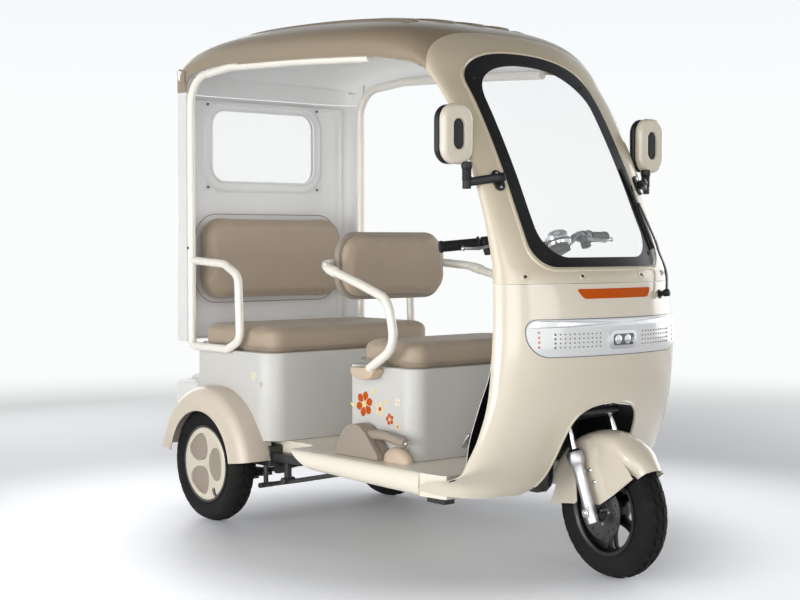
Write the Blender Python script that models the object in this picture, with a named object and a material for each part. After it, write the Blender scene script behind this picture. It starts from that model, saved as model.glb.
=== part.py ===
"""Electric passenger tricycle with a moulded cab, a driver's seat and a rear bench.

Metres, +X forward, +Y to the vehicle's left, +Z up, standing on its wheels at z = 0.
Stations along the body are measured forward from the rear axle.
"""
import math

import bmesh
import bpy
from mathutils import Matrix, Vector

# Layout
REAR_AXLE_X = -0.7032
WHEELBASE = 1.497
REAR_TRACK = 0.795
SEAT_GAP = 0.0003

# The body is drawn above a ground line on which the axles stand this high
AXLE_LINE = 0.203

# Wheels
TYRE_RADIUS = 0.203
TYRE_WIDTH = 0.086
TYRE_HEIGHT = 0.075
BEAD_RADIUS = TYRE_RADIUS - TYRE_HEIGHT
BEAD_WIDTH = 0.072
RIM_WALL = 0.006
FLANGE_HEIGHT = 0.008
FLANGE_THICK = 0.005
WHEEL_STEPS = 24
AXLE_RADIUS = 0.008
BORE_CLEARANCE = 0.0006
CAP_RADIUS = BEAD_RADIUS + 0.002
CAP_STANDOUT = 0.039
CAP_LOBES = 3
LOBE_SIDES = 12
LOBE_RADIUS = 0.030
LOBE_REACH = BEAD_RADIUS - 0.062
LOBE_DEPTH = 0.004
FRONT_HUB_RADIUS = 0.050
FRONT_HUB_HALF = 0.034
FRONT_SPOKES = 6
DISC_RADIUS = 0.085
DISC_THICK = 0.004
DISC_PLANE = 0.046

# Steering
HEAD_RAKE = math.radians(21.0)
STEER_AT_REST = math.radians(-7.5)
HEAD_TUBE_LOW = 0.335
HEAD_TUBE_HIGH = HEAD_TUBE_LOW + 0.120
HEAD_TUBE_RADIUS = 0.027
COLUMN_RADIUS = 0.0160
COLUMN_TOP = 0.800
BEARING_CLEARANCE = 0.0006
LEG_SPREAD = 0.084
SLIDER_RADIUS = 0.0205
STANCHION_RADIUS = 0.0140
SLIDER_TOP = 0.175
YOKE_LOW = TYRE_RADIUS + 0.072
YOKE_HIGH = YOKE_LOW + 0.025
YOKE_DEPTH = 0.060
FENDER_HALF = 0.058
FENDER_LUG = TYRE_RADIUS - 0.037
BAR_RADIUS = 0.011
BAR_HALF = 0.319
BAR_AHEAD = 0.030
BAR_KNEE = (0.012, 0.130, 0.036)
BAR_RISE = 0.056
BAR_SWEEP = 0.068
LEVER_RADIUS = 0.0045
POD_RADIUS = 0.038
POD_AHEAD = 0.081
GRIP_RADIUS = 0.0165
GRIP_LENGTH = 0.118

# Cab shell, as stations: (edge x, edge z, half width, centre x, centre z, roundness)
# Roundness 2 is a half ellipse across, and 3 is flatter in front with tighter sides
SHELL_THICK = 0.005
SHELL_STATIONS = (
    (1.105, 0.250, 0.410, 1.330, 0.236, 3.0),
    (1.130, 0.274, 0.411, 1.364, 0.268, 2.6),
    (1.214, 0.288, 0.408, 1.402, 0.322, 2.25),
    (1.276, 0.310, 0.403, 1.434, 0.378, 2.0),
    (1.306, 0.358, 0.397, 1.470, 0.455, 2.0),
    (1.339, 0.428, 0.388, 1.498, 0.535, 2.0),
    (1.366, 0.535, 0.377, 1.518, 0.620, 2.0),
    (1.376, 0.700, 0.370, 1.530, 0.720, 2.0),
    (1.362, 0.858, 0.356, 1.506, 0.860, 2.1),
)
COWL_STATIONS = (
    (1.352, 0.930, 0.352, 1.460, 0.930, 2.4),
    (1.318, 1.050, 0.350, 1.390, 1.050, 2.8),
    (1.274, 1.170, 0.350, 1.329, 1.170, 3.0),
    (1.222, 1.290, 0.350, 1.263, 1.290, 3.0),
    (1.160, 1.390, 0.352, 1.203, 1.390, 3.0),
    (1.098, 1.465, 0.358, 1.150, 1.465, 3.0),
    (1.050, 1.505, 0.366, 1.095, 1.553, 3.0),
    (0.980, 1.524, 0.378, 1.010, 1.630, 3.0),
)
ROOF_STATIONS = (
    (0.850, 1.545, 0.394, 0.860, 1.672, 3.0),
    (0.600, 1.562, 0.405, 0.600, 1.698, 3.0),
    (0.300, 1.576, 0.410, 0.300, 1.712, 3.0),
    (0.060, 1.584, 0.410, 0.050, 1.712, 3.0),
    (-0.080, 1.573, 0.410, -0.110, 1.692, 3.2),
    (-0.134, 1.556, 0.410, -0.222, 1.645, 3.8),
    (-0.154, 1.534, 0.409, -0.266, 1.585, 4.2),
    (-0.160, 1.508, 0.407, -0.280, 1.512, 5.0),
)
REAR_STATION = (-0.160, 0.620, 0.407, -0.280, 0.620, 5.0)
CAB = SHELL_STATIONS + COWL_STATIONS + ROOF_STATIONS + (REAR_STATION,)
SHELL_END = len(SHELL_STATIONS) - 1
COWL_END = SHELL_END + len(COWL_STATIONS)
ROOF_END = COWL_END + len(ROOF_STATIONS)
SEAM = 0.0006
ACROSS = 16

# Raised ribs along the roof
RIB_COUNT = 5
RIB_PITCH = 0.118
RIB_WIDTH = 0.046
RIB_THICK = 0.010
RIB_SINK = 0.003
RIB_REAR = -0.020
RIB_FRONT = 0.930
RIB_PULL = 0.9
RIB_STEPS = 8

# Door tubes
TUBE_SIDES = 8
TUBE_FLAT = math.cos(math.pi / TUBE_SIDES)
RAIL_RADIUS = 0.0150
ARM_RADIUS = 0.0145
RAIL_CLEAR = 0.0014
RAIL_IN = SHELL_THICK + RAIL_RADIUS * TUBE_FLAT + RAIL_CLEAR
RAIL_Y = REAR_STATION[2] - RAIL_IN
RAIL_REAR = REAR_STATION[0]
RAIL_LOW = 0.605

# Windscreen opening
SCREEN_HALF = 0.268
SCREEN_LOW = 0.908
SCREEN_HIGH = 1.532
SCREEN_CORNER = 0.075
SCREEN_THICK = 0.004
SCREEN_INSET = 0.0008
SCREEN_FIT = 0.0008

# Wheel arch in the front shell
ARCH_HALF = 0.157
ARCH_TOP = 0.512
ARCH_CORNER = 0.095
ARCH_FLARE = 0.075
ARCH_LOW = 0.225

# Lamp band
LAMP_LOW = 0.662
LAMP_HIGH = 0.752
LAMP_HALF = 0.333
LAMP_DEPTH = 0.0035
LAMP_FIT = 0.0006

# Rear shell and liner
REAR_FACE_X = REAR_STATION[3]
REAR_LOW = REAR_STATION[1]
LINER_THICK = 0.004
LINER_HALF = 0.366
LINER_HIGH = 1.500
WINDOW_HALF = 0.235
WINDOW_LOW = 1.198
WINDOW_HIGH = 1.464
WINDOW_CORNER = 0.055
WINDOW_LAP = 0.012
WINDOW_FRAME = 0.030
WINDOW_FRAME_RAISE = 0.006
GLASS_THICK = 0.004
WALL_STACK = SHELL_THICK + GLASS_THICK + LINER_THICK + 2 * SEAT_GAP

# Deck
DECK_HALF = SHELL_STATIONS[0][2]
DECK_TOP = 0.300
DECK_THICK = 0.045
DECK_REAR = -0.270
DECK_FRONT = 1.205
DECK_CORNER = 0.090
DECK_ROLL = 0.022
DECK_STEP_X = SHELL_STATIONS[0][0] - 0.001
DECK_IN = 0.008
WELL_FRONT = 0.330

# Rear bench
BENCH_REAR = -0.150
BENCH_FRONT = 0.295
BENCH_HALF = RAIL_Y - ARM_RADIUS - SEAT_GAP
BENCH_TOP = DECK_TOP + 0.300
BENCH_CORNER = 0.035
CUSHION_THICK = 0.085
CUSHION_LIP = 0.010
BACKREST_HALF = 0.325
BACKREST_LOW = 0.752
BACKREST_HIGH = 1.080
BACKREST_THICK = 0.090
BACKREST_EDGE = 0.020
BACKREST_CORNER = 0.085

# Driver's seat
DRIVER_REAR = 0.625
DRIVER_FRONT = 0.950
DRIVER_HALF = 0.292
DRIVER_TOP = DECK_TOP + 0.286
DRIVER_CORNER = 0.045
DRIVER_CUSHION_THICK = 0.080
BOX_WALL = 0.005
BATTERY_HALF = 0.200
BATTERY_HIGH = 0.210
DRIVER_BACK_X = 0.470
DRIVER_BACK_HALF = 0.236
DRIVER_BACK_LOW = 0.782
DRIVER_BACK_HIGH = 1.012
DRIVER_BACK_THICK = 0.062
DRIVER_BACK_CORNER = 0.075
ARM_SPACE = 0.0235
ARM_HALF = DRIVER_HALF + ARM_RADIUS + ARM_SPACE

# Fenders
FENDER_RADIUS = TYRE_RADIUS + 0.059
FENDER_INNER_Y = REAR_TRACK / 2 - 0.0675
FENDER_OUTER_Y = REAR_TRACK / 2 + 0.0635
FENDER_CROWN = 0.008
FENDER_SKIRT = 0.074
FENDER_THICK = 0.004
FENDER_STEPS = 14
FENDER_FROM = 7.0
FENDER_TO = 171.0

# Mirrors
MIRROR_X = 1.262
MIRROR_Y = 0.415
MIRROR_LOW = 1.196
MIRROR_HIGH = 1.368
MIRROR_HALF = 0.058
MIRROR_DEPTH = 0.052
MIRROR_RECESS = 0.006
MIRROR_BASE_Z = 1.151
MIRROR_BASE_Y = 0.300

# Tail
TAIL_HALF = 0.325
TAIL_TOP = 0.495
TAIL_X = -0.276
LAMP_RAISE = 0.014
PLATE_RAISE = 0.016
PLATE_HALF = 0.125
PLATE_LOW = 0.345
PLATE_HIGH = 0.470

# Leg shield
SHIELD_HALF = 0.300
SHIELD_TOP = 0.845
SHIELD_THICK = 0.004

# Chassis
RAIL_BOX = 0.036
FRAME_Z = DECK_TOP - DECK_THICK - 0.023
AXLE_BEAM_RADIUS = 0.024
MOTOR_RADIUS = 0.050
KICK_X = 0.120
NECK_X = 1.060
SPRING_REAR = -0.288
SPRING_WIDTH = 0.045
SPRING_Y = REAR_TRACK / 2 - TYRE_WIDTH / 2 - SPRING_WIDTH / 2 - 0.057
FRAME_HALF = SPRING_Y - 0.060
SPRING_HALF = 0.290
SPRING_SAG = 0.045
SPRING_THICK = 0.016


def clear_scene():
    """Remove the objects of a fresh file."""
    for obj in list(bpy.data.objects):
        bpy.data.objects.remove(obj, do_unlink=True)


def finish(name, colour, roughness, metallic=0.0, alpha=1.0):
    """A Principled material."""
    material = bpy.data.materials.get(name) or bpy.data.materials.new(name)
    material.use_nodes = True
    shader = material.node_tree.nodes["Principled BSDF"]
    shader.inputs["Base Color"].default_value = (*colour, 1.0)
    shader.inputs["Roughness"].default_value = roughness
    shader.inputs["Metallic"].default_value = metallic
    shader.inputs["Alpha"].default_value = alpha
    return material


TAN = ("tan paint", (0.45, 0.36, 0.25), 0.35)
CREAM = ("cream paint", (0.70, 0.63, 0.52), 0.30)
PALE = ("pale grey plastic", (0.66, 0.66, 0.64), 0.45)
IVORY = ("ivory tube", (0.85, 0.81, 0.70), 0.30)
LEATHER = ("taupe leather", (0.39, 0.30, 0.22), 0.55)
TAUPE = ("taupe plastic", (0.33, 0.28, 0.22), 0.50)
BLACK = ("black plastic", (0.02, 0.02, 0.02), 0.45)
RUBBER = ("tyre rubber", (0.02, 0.02, 0.02), 0.80)
DARK_STEEL = ("black steel", (0.03, 0.03, 0.03), 0.45, 0.6)
SILVER = ("silver metal", (0.62, 0.62, 0.62), 0.30, 1.0)
CLEAR = ("clear sheet", (0.85, 0.88, 0.90), 0.05, 0.0, 0.3)
LENS = ("clear lens", (0.90, 0.90, 0.90), 0.08)
RED_LENS = ("red lens", (0.50, 0.02, 0.02), 0.15)


def as_object(name, mesh, look, parent, place=(0, 0, 0), sharp=35.0):
    """Link a mesh as a node under its parent."""
    obj = bpy.data.objects.new(name, mesh)
    bpy.context.scene.collection.objects.link(obj)
    if look is not None:
        mesh.materials.append(finish(*look))
        mesh.shade_smooth()
        mesh.set_sharp_from_angle(angle=math.radians(sharp))
    obj.location = place
    obj.parent = parent
    return obj


def to_mesh(name, bm):
    """Close a bmesh into a mesh with its faces pointing out."""
    bmesh.ops.recalc_face_normals(bm, faces=bm.faces)
    mesh = bpy.data.meshes.new(name)
    bm.to_mesh(mesh)
    bm.free()
    return mesh


def node(name, bm, look, parent, place=(0, 0, 0), sharp=35.0):
    """A node from a closed bmesh."""
    return as_object(name, to_mesh(name, bm), look, parent, place, sharp)


def empty(name, place, parent=None, turn=None):
    """An empty that carries a body; its z axis can be raked by turn."""
    obj = bpy.data.objects.new(name, None)
    bpy.context.scene.collection.objects.link(obj)
    obj.location = place
    obj.parent = parent
    if turn is not None:
        obj.rotation_euler = turn
    return obj


def helper(obj):
    """Mark an operand that is only there for a Boolean."""
    obj.hide_render = True
    obj.display_type = "WIRE"
    return obj


def combine(obj, bm, operation):
    """Add a closed shape to an object, or cut it away, with a Boolean modifier."""
    name = obj.name + "_" + operation.lower() + "_" + str(len(obj.modifiers))
    other = helper(as_object(name, to_mesh(name, bm), None, obj.parent, obj.location))
    boolean = obj.modifiers.new(name, "BOOLEAN")
    boolean.operation = operation
    boolean.object = other
    return obj


def add(obj, *shapes):
    """Join closed shapes to an object."""
    for bm in shapes:
        combine(obj, bm, "UNION")
    return obj


def cut(obj, *shapes):
    """Cut closed shapes from an object."""
    for bm in shapes:
        combine(obj, bm, "DIFFERENCE")
    return obj


def box(low, high, bevel=0.0, segments=2):
    """A box between two corners with rounded edges."""
    bm = bmesh.new()
    bmesh.ops.create_cube(bm, size=1.0)
    size = Vector(high) - Vector(low)
    bmesh.ops.scale(bm, vec=size, verts=bm.verts)
    bmesh.ops.translate(bm, vec=(Vector(low) + Vector(high)) / 2, verts=bm.verts)
    if bevel > 0:
        bmesh.ops.bevel(bm, geom=bm.edges[:], offset=bevel, segments=segments,
                        profile=0.5, affect="EDGES", material=-1)
    return bm


def rod(start, end, radius, sides=12, end_radius=None):
    """A round bar or cone between two points."""
    start, end = Vector(start), Vector(end)
    bm = bmesh.new()
    far = radius if end_radius is None else end_radius
    bmesh.ops.create_cone(bm, cap_ends=True, segments=sides, radius1=radius,
                          radius2=far, depth=(end - start).length)
    turn = (end - start).to_track_quat("Z", "Y").to_matrix().to_4x4()
    bmesh.ops.transform(bm, matrix=Matrix.Translation((start + end) / 2) @ turn, verts=bm.verts)
    return bm


def round_path(corners, radius, steps=3):
    """A polyline with each inner corner turned into an arc of the given radius."""
    corners = [Vector(p) for p in corners]
    path = [corners[0]]
    for before, corner, after in zip(corners, corners[1:], corners[2:]):
        into = (corner - before).normalized()
        away = (after - corner).normalized()
        angle = into.angle(away)
        if angle < 1e-3:
            path.append(corner)
            continue
        reach = min(radius * math.tan(angle / 2),
                    0.48 * min((corner - before).length, (after - corner).length))
        bend = reach / math.tan(angle / 2)
        normal = into.cross(away).normalized()
        centre = corner - into * reach + normal.cross(into) * bend
        spoke = (corner - into * reach) - centre
        for i in range(steps + 1):
            path.append(centre + Matrix.Rotation(angle * i / steps, 3, normal) @ spoke)
    path.append(corners[-1])
    return path


def sweep(path, radius, sides=TUBE_SIDES):
    """A closed round bar along a path."""
    path = [Vector(p) for p in path]
    bm = bmesh.new()
    rings = []
    side = None
    for i, point in enumerate(path):
        ahead = path[min(i + 1, len(path) - 1)] - path[max(i - 1, 0)]
        ahead.normalize()
        if side is None:
            side = ahead.orthogonal().normalized()
        side = (side - ahead * side.dot(ahead)).normalized()
        up = ahead.cross(side)
        ring = []
        for k in range(sides):
            a = 2 * math.pi * (k + 0.5) / sides
            ring.append(bm.verts.new(point + radius * (math.cos(a) * side + math.sin(a) * up)))
        rings.append(ring)
    for low, high in zip(rings, rings[1:]):
        for k in range(sides):
            bm.faces.new((low[k], low[(k + 1) % sides], high[(k + 1) % sides], high[k]))
    bm.faces.new(rings[0])
    bm.faces.new(rings[-1])
    return bm


def turned(profile, steps=WHEEL_STEPS, axis="Y"):
    """A closed ring or disc from (radius, along) points turned about an axis."""
    bm = bmesh.new()
    rings = []
    for radius, along in profile:
        if radius < 1e-6:
            rings.append([bm.verts.new((0, 0, along))])
            continue
        ring = []
        for k in range(steps):
            a = 2 * math.pi * k / steps
            ring.append(bm.verts.new((radius * math.cos(a), radius * math.sin(a), along)))
        rings.append(ring)
    closed = all(len(ring) > 1 for ring in rings)
    pairs = list(zip(rings, rings[1:]))
    if closed:
        pairs.append((rings[-1], rings[0]))
    for low, high in pairs:
        for k in range(steps):
            n = (k + 1) % steps
            if len(low) == 1 and len(high) == 1:
                break
            if len(low) == 1:
                bm.faces.new((low[0], high[n], high[k]))
            elif len(high) == 1:
                bm.faces.new((low[k], low[n], high[0]))
            else:
                bm.faces.new((low[k], low[n], high[n], high[k]))
    if axis == "Y":
        bmesh.ops.rotate(bm, matrix=Matrix.Rotation(-math.pi / 2, 3, "X"), verts=bm.verts)
    return bm


def rounded_outline(half, low, high, corner, steps=4):
    """A rounded rectangle, symmetric about zero, as (across, up) points."""
    centres = ((half - corner, low + corner, -90), (half - corner, high - corner, 0),
               (corner - half, high - corner, 90), (corner - half, low + corner, 180))
    outline = []
    for across, up, first in centres:
        for i in range(steps + 1):
            a = math.radians(first + 90 * i / steps)
            outline.append((across + corner * math.cos(a), up + corner * math.sin(a)))
    return outline


def prism(outline, place, direction):
    """A closed prism: an outline of 2-D points, each put in space by place, pushed along."""
    bm = bmesh.new()
    face = bm.faces.new([bm.verts.new(place(*p)) for p in outline])
    grown = bmesh.ops.extrude_face_region(bm, geom=[face])
    moved = [v for v in grown["geom"] if isinstance(v, bmesh.types.BMVert)]
    bmesh.ops.translate(bm, vec=direction, verts=moved)
    return bm


def soften(bm, width, segments=2, angle=40.0):
    """Round the sharp edges of a closed shape."""
    bmesh.ops.recalc_face_normals(bm, faces=bm.faces)
    sharp = [e for e in bm.edges if e.calc_face_angle(0) > math.radians(angle)]
    bmesh.ops.bevel(bm, geom=sharp, offset=width, segments=segments, profile=0.5,
                    affect="EDGES", material=-1)
    return bm


def spline(rows, between):
    """Rows of numbers run through a smooth curve, with extra rows between the given ones."""
    out = []
    last = len(rows) - 1
    for i in range(last):
        a, b, c, d = (rows[max(i - 1, 0)], rows[i], rows[i + 1], rows[min(i + 2, last)])
        for k in range(between):
            t = k / between
            out.append(tuple(0.5 * (2 * q + (r - p) * t + (2 * p - 5 * q + 4 * r - s) * t * t
                                    + (3 * q - p - 3 * r + s) * t ** 3)
                             for p, q, r, s in zip(a, b, c, d)))
    out.append(tuple(rows[last]))
    return out


def bow(station):
    """One section of the cab: from the right edge over the centre to the left edge."""
    edge_x, edge_z, half, centre_x, centre_z, power = station
    points = []
    for i in range(ACROSS + 1):
        a = math.pi * (i / ACROSS - 0.5)
        y = half * math.copysign(abs(math.sin(a)) ** (2 / power), math.sin(a))
        k = max(0.0, math.cos(a)) ** (2 / power)
        points.append(Vector((edge_x + (centre_x - edge_x) * k, y,
                              edge_z + (centre_z - edge_z) * k)))
    return points


def cab_normals(grid):
    """Outward directions at every point of the rows of sections."""
    normals = []
    for i, row in enumerate(grid):
        low, high = grid[max(i - 1, 0)], grid[min(i + 1, len(grid) - 1)]
        line = []
        for k in range(ACROSS + 1):
            along = row[min(k + 1, ACROSS)] - row[max(k - 1, 0)]
            line.append(along.cross(high[k] - low[k]).normalized())
        normals.append(line)
    return normals


def skin(first, last, thickness, inset=0.0):
    """A closed wall between two of the cab's stations, inset from its outer face.

    A piece that starts above another leaves the seam free at its first station.
    """
    grid = [bow(station) for station in CAB]
    normals = cab_normals(grid)
    bm = bmesh.new()
    outer, inner = [], []
    for i in range(first, last + 1):
        row = []
        for k, point in enumerate(grid[i]):
            if i == first and first > 0:
                point = point + (grid[i + 1][k] - point).normalized() * SEAM
            row.append((point - normals[i][k] * inset,
                        point - normals[i][k] * (inset + thickness)))
        outer.append([bm.verts.new(a) for a, b in row])
        inner.append([bm.verts.new(b) for a, b in row])
    for low, high in zip(outer, outer[1:]):
        for k in range(ACROSS):
            bm.faces.new((low[k], low[k + 1], high[k + 1], high[k]))
    for low, high in zip(inner, inner[1:]):
        for k in range(ACROSS):
            bm.faces.new((low[k], high[k], high[k + 1], low[k + 1]))
    for row, twin in ((outer[0], inner[0]), (outer[-1], inner[-1])):
        for k in range(ACROSS):
            bm.faces.new((row[k], row[k + 1], twin[k + 1], twin[k]))
    for k in (0, -1):
        for i in range(len(outer) - 1):
            bm.faces.new((outer[i][k], outer[i + 1][k], inner[i + 1][k], inner[i][k]))
    return bm


def screen_prism(shrink=0.0):
    """The windscreen's outline pushed along x."""
    outline = rounded_outline(SCREEN_HALF - shrink, SCREEN_LOW + shrink,
                              SCREEN_HIGH - shrink, SCREEN_CORNER - shrink, 6)
    return prism(outline, lambda y, z: (1.00, y, z), (0.60, 0, 0))


def arch_outline():
    """The wheel arch: rounded at the top, flaring out in an S where the shell ends."""
    wide = ARCH_HALF + 2 * ARCH_FLARE
    half = [(wide, ARCH_LOW - ARCH_FLARE, 0), (wide - 0.01, ARCH_LOW + 0.014, 0),
            (ARCH_HALF, ARCH_LOW + 0.030, 0), (ARCH_HALF, ARCH_TOP, 0), (0, ARCH_TOP, 0)]
    low = round_path(half[:4], ARCH_FLARE, 4)[:-1]
    high = round_path([low[-1], Vector(half[3]), Vector(half[4])], ARCH_CORNER, 6)[1:-1]
    right = [(p.x, p.y) for p in low + high]
    return right + [(-y, z) for y, z in reversed(right)]


def lamp_prism(shrink=0.0):
    """The lamp band's outline pushed along x."""
    outline = rounded_outline(LAMP_HALF - shrink, LAMP_LOW + shrink, LAMP_HIGH - shrink,
                              0.036 - shrink, 4)
    return prism(outline, lambda y, z: (1.35, y, z), (0.25, 0, 0))


def roof_edge(x):
    """Height and half width of the roof's lower edge at a station x."""
    rows = CAB[COWL_END:ROOF_END + 1]
    for front, rear in zip(rows, rows[1:]):
        if rear[0] <= x:
            break
    t = (x - front[0]) / (rear[0] - front[0])
    return front[1] + (rear[1] - front[1]) * t, front[2] + (rear[2] - front[2]) * t


def build_cab(frame):
    """The moulded shells: lower front, windscreen surround, roof and their panes."""
    shell = node("front_shell", skin(0, SHELL_END, SHELL_THICK), CREAM, frame)
    cut(shell, prism(arch_outline(), lambda y, z: (1.12, y, z), (0.60, 0, 0)))
    cut(shell, lamp_prism())
    lamp = node("headlamp_band", skin(0, SHELL_END, SHELL_THICK - LAMP_DEPTH,
                                      -LAMP_DEPTH / 2), LENS, frame)
    combine(lamp, lamp_prism(LAMP_FIT), "INTERSECT")

    cowl = node("front_cowl", skin(SHELL_END, COWL_END, SHELL_THICK), TAN, frame)
    cut(cowl, screen_prism())
    pane = node("windscreen", skin(SHELL_END, COWL_END, SCREEN_THICK, SCREEN_INSET), CLEAR, frame)
    combine(pane, screen_prism(SCREEN_FIT), "INTERSECT")

    roof = node("roof", skin(COWL_END, ROOF_END, SHELL_THICK), TAN, frame)
    for k in range(RIB_COUNT):
        y = RIB_PITCH * (k - (RIB_COUNT - 1) / 2)
        front = RIB_FRONT - RIB_PULL * y * y
        path = []
        for i in range(RIB_STEPS + 1):
            x = RIB_REAR + (front - RIB_REAR) * i / RIB_STEPS
            path.append((x, y, roof_height(x, y) + RIB_THICK / 2 - RIB_SINK))
        add(roof, strap(path, RIB_WIDTH, RIB_THICK))


def roof_height(x, y):
    """Height of the roof's outer face over a point."""
    line = []
    for row in (bow(station) for station in CAB[COWL_END:ROOF_END + 1]):
        for a, b in zip(row, row[1:]):
            if b.y >= y:
                break
        line.append(a + (b - a) * ((y - a.y) / (b.y - a.y)))
    for a, b in zip(line, line[1:]):
        if b.x <= x:
            break
    return a.z + (b.z - a.z) * (x - a.x) / (b.x - a.x)


def rear_wall(across):
    """How far back the rear shell's outer face lies at a distance off centre."""
    edge_x, _, half, centre_x, _, power = REAR_STATION
    return edge_x + (centre_x - edge_x) * (1 - (across / half) ** power) ** (1 / power)


def build_rear(frame):
    """The rear shell with its side returns, the inner liner, the window and its pane."""
    last = ROOF_END + 1
    shell = node("rear_shell", skin(ROOF_END, last, SHELL_THICK), TAN, frame)
    window = rounded_outline(WINDOW_HALF, WINDOW_LOW, WINDOW_HIGH, WINDOW_CORNER)
    cut(shell, prism(window, lambda y, z: (REAR_FACE_X - 0.03, y, z), (0.08, 0, 0)))

    glass = SHELL_THICK + SEAT_GAP
    pane = node("rear_window", skin(ROOF_END, last, GLASS_THICK, glass), CLEAR, frame)
    lap = rounded_outline(WINDOW_HALF + WINDOW_LAP, WINDOW_LOW - WINDOW_LAP,
                          WINDOW_HIGH + WINDOW_LAP, WINDOW_CORNER + WINDOW_LAP)
    combine(pane, prism(lap, lambda y, z: (REAR_FACE_X - 0.03, y, z), (0.08, 0, 0)), "INTERSECT")

    inset = glass + GLASS_THICK + SEAT_GAP
    liner = node("rear_liner", skin(ROOF_END, last, LINER_THICK, inset), PALE, frame)
    combine(liner, box((REAR_FACE_X - 0.03, -LINER_HALF, REAR_LOW + 0.01),
                       (REAR_FACE_X + 0.09, LINER_HALF, LINER_HIGH)), "INTERSECT")
    raised = rounded_outline(WINDOW_HALF + WINDOW_FRAME, WINDOW_LOW - WINDOW_FRAME,
                             WINDOW_HIGH + WINDOW_FRAME, WINDOW_CORNER + WINDOW_FRAME)
    bite = 0.0005
    frame_x = rear_wall(WINDOW_HALF + WINDOW_FRAME) + inset + bite
    add(liner, prism(raised, lambda y, z: (frame_x, y, z),
                     (LINER_THICK - bite + WINDOW_FRAME_RAISE, 0, 0)))
    cut(liner, prism(window, lambda y, z: (REAR_FACE_X - 0.03, y, z), (0.08, 0, 0)))


def deck_outline():
    """The floor pan from above: full width up to the front shell, then inside it."""
    edge_x, _, half, centre_x, _, power = SHELL_STATIONS[0]
    right = [(DECK_REAR, DECK_HALF), (DECK_STEP_X, DECK_HALF), (DECK_STEP_X, DECK_HALF - DECK_IN)]
    for i in range(9):
        across = (half - DECK_IN) * (1 - (i / 9) ** 3)
        ahead = edge_x + (centre_x - edge_x) * (1 - (across / half) ** power) ** (1 / power)
        if DECK_STEP_X < ahead - DECK_IN < DECK_FRONT:
            right.append((ahead - DECK_IN, across - DECK_IN))
    right.append((DECK_FRONT, right[-1][1]))
    return right + [(x, -y) for x, y in reversed(right)]


def build_deck(frame):
    """The floor pan: a slab with a rolled edge, open at the rear for the wheels."""
    slab = prism(deck_outline(), lambda x, y: (x, y, DECK_TOP - DECK_THICK),
                 (0, 0, DECK_THICK))
    bmesh.ops.recalc_face_normals(slab, faces=slab.faces)
    rims = [e for e in slab.edges
            if abs(e.verts[0].co.z - e.verts[1].co.z) < 1e-5
            and all(abs(abs(v.co.y) - DECK_HALF) < 1e-5 for v in e.verts)]
    bmesh.ops.bevel(slab, geom=rims, offset=DECK_ROLL, segments=4, profile=0.5,
                    affect="EDGES", material=-1)
    deck = node("deck", slab, CREAM, frame)
    for side in (-1, 1):
        edge = sorted((side * (FENDER_INNER_Y - 0.040), side * (DECK_HALF + 0.05)))
        corners = [(DECK_REAR - 0.05, edge[0], 0), (WELL_FRONT, edge[0], 0),
                   (WELL_FRONT, edge[1], 0), (DECK_REAR - 0.05, edge[1], 0)]
        well = round_path([corners[0], corners[1], corners[2], corners[3]], 0.030, 3)
        cut(deck, prism([(p.x, p.y) for p in well], lambda x, y: (x, y, 0.2), (0, 0, 0.2)))


def rounded_slab(rear, front, half, low, high, corner):
    """A slab with rounded corners, seen from above."""
    middle = (rear + front) / 2
    path = round_path([(middle, -half, 0), (front, -half, 0), (front, half, 0),
                       (rear, half, 0), (rear, -half, 0), (middle, -half, 0)], corner, 4)
    outline = [(p.x, p.y) for p in path[:-1]]
    return prism(outline, lambda x, y: (x, y, low), (0, 0, high - low))


def padded_box(rear, front, half, low, high, corner, edge):
    """A cushion's plain form: a rounded slab with softened edges."""
    return soften(rounded_slab(rear, front, half, low, high, corner), edge, 2, 60)


def hollow(rear, front, half, top, corner):
    """The space inside a seat box, open at the floor, its corners following the box's."""
    return rounded_slab(rear + BOX_WALL, front - BOX_WALL, half - BOX_WALL,
                        DECK_TOP - 0.02, top - BOX_WALL, max(corner - BOX_WALL, 0.004))


def build_bench(frame):
    """The rear bench: its box, cushion and backrest."""
    bench = node("bench_box", padded_box(BENCH_REAR, BENCH_FRONT, BENCH_HALF,
                                         DECK_TOP + SEAT_GAP, BENCH_TOP, BENCH_CORNER, 0.006),
                 PALE, frame)
    cut(bench, hollow(BENCH_REAR, BENCH_FRONT, FENDER_INNER_Y, BENCH_TOP, BENCH_CORNER))
    for side in (-1, 1):
        well = (FENDER_RADIUS + FENDER_CROWN + SEAT_GAP * 2) / math.cos(math.pi / 36)
        cut(bench, rod((0, side * (FENDER_INNER_Y - SEAT_GAP), AXLE_LINE),
                       (0, side * 0.5, AXLE_LINE), well, 36))
    node("bench_cushion", padded_box(BENCH_REAR, BENCH_FRONT + CUSHION_LIP,
                                     BENCH_HALF, BENCH_TOP + SEAT_GAP,
                                     BENCH_TOP + CUSHION_THICK, 0.055, 0.022), LEATHER, frame)
    back = rounded_outline(BACKREST_HALF, BACKREST_LOW, BACKREST_HIGH, BACKREST_CORNER)
    low_x = rear_wall(BACKREST_HALF - BACKREST_EDGE) + WALL_STACK + 3 * SEAT_GAP
    bm = prism(back, lambda y, z: (low_x, y, z), (BACKREST_THICK, 0, 0))
    node("bench_backrest", soften(bm, BACKREST_EDGE, 2, 60), LEATHER, frame)


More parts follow.
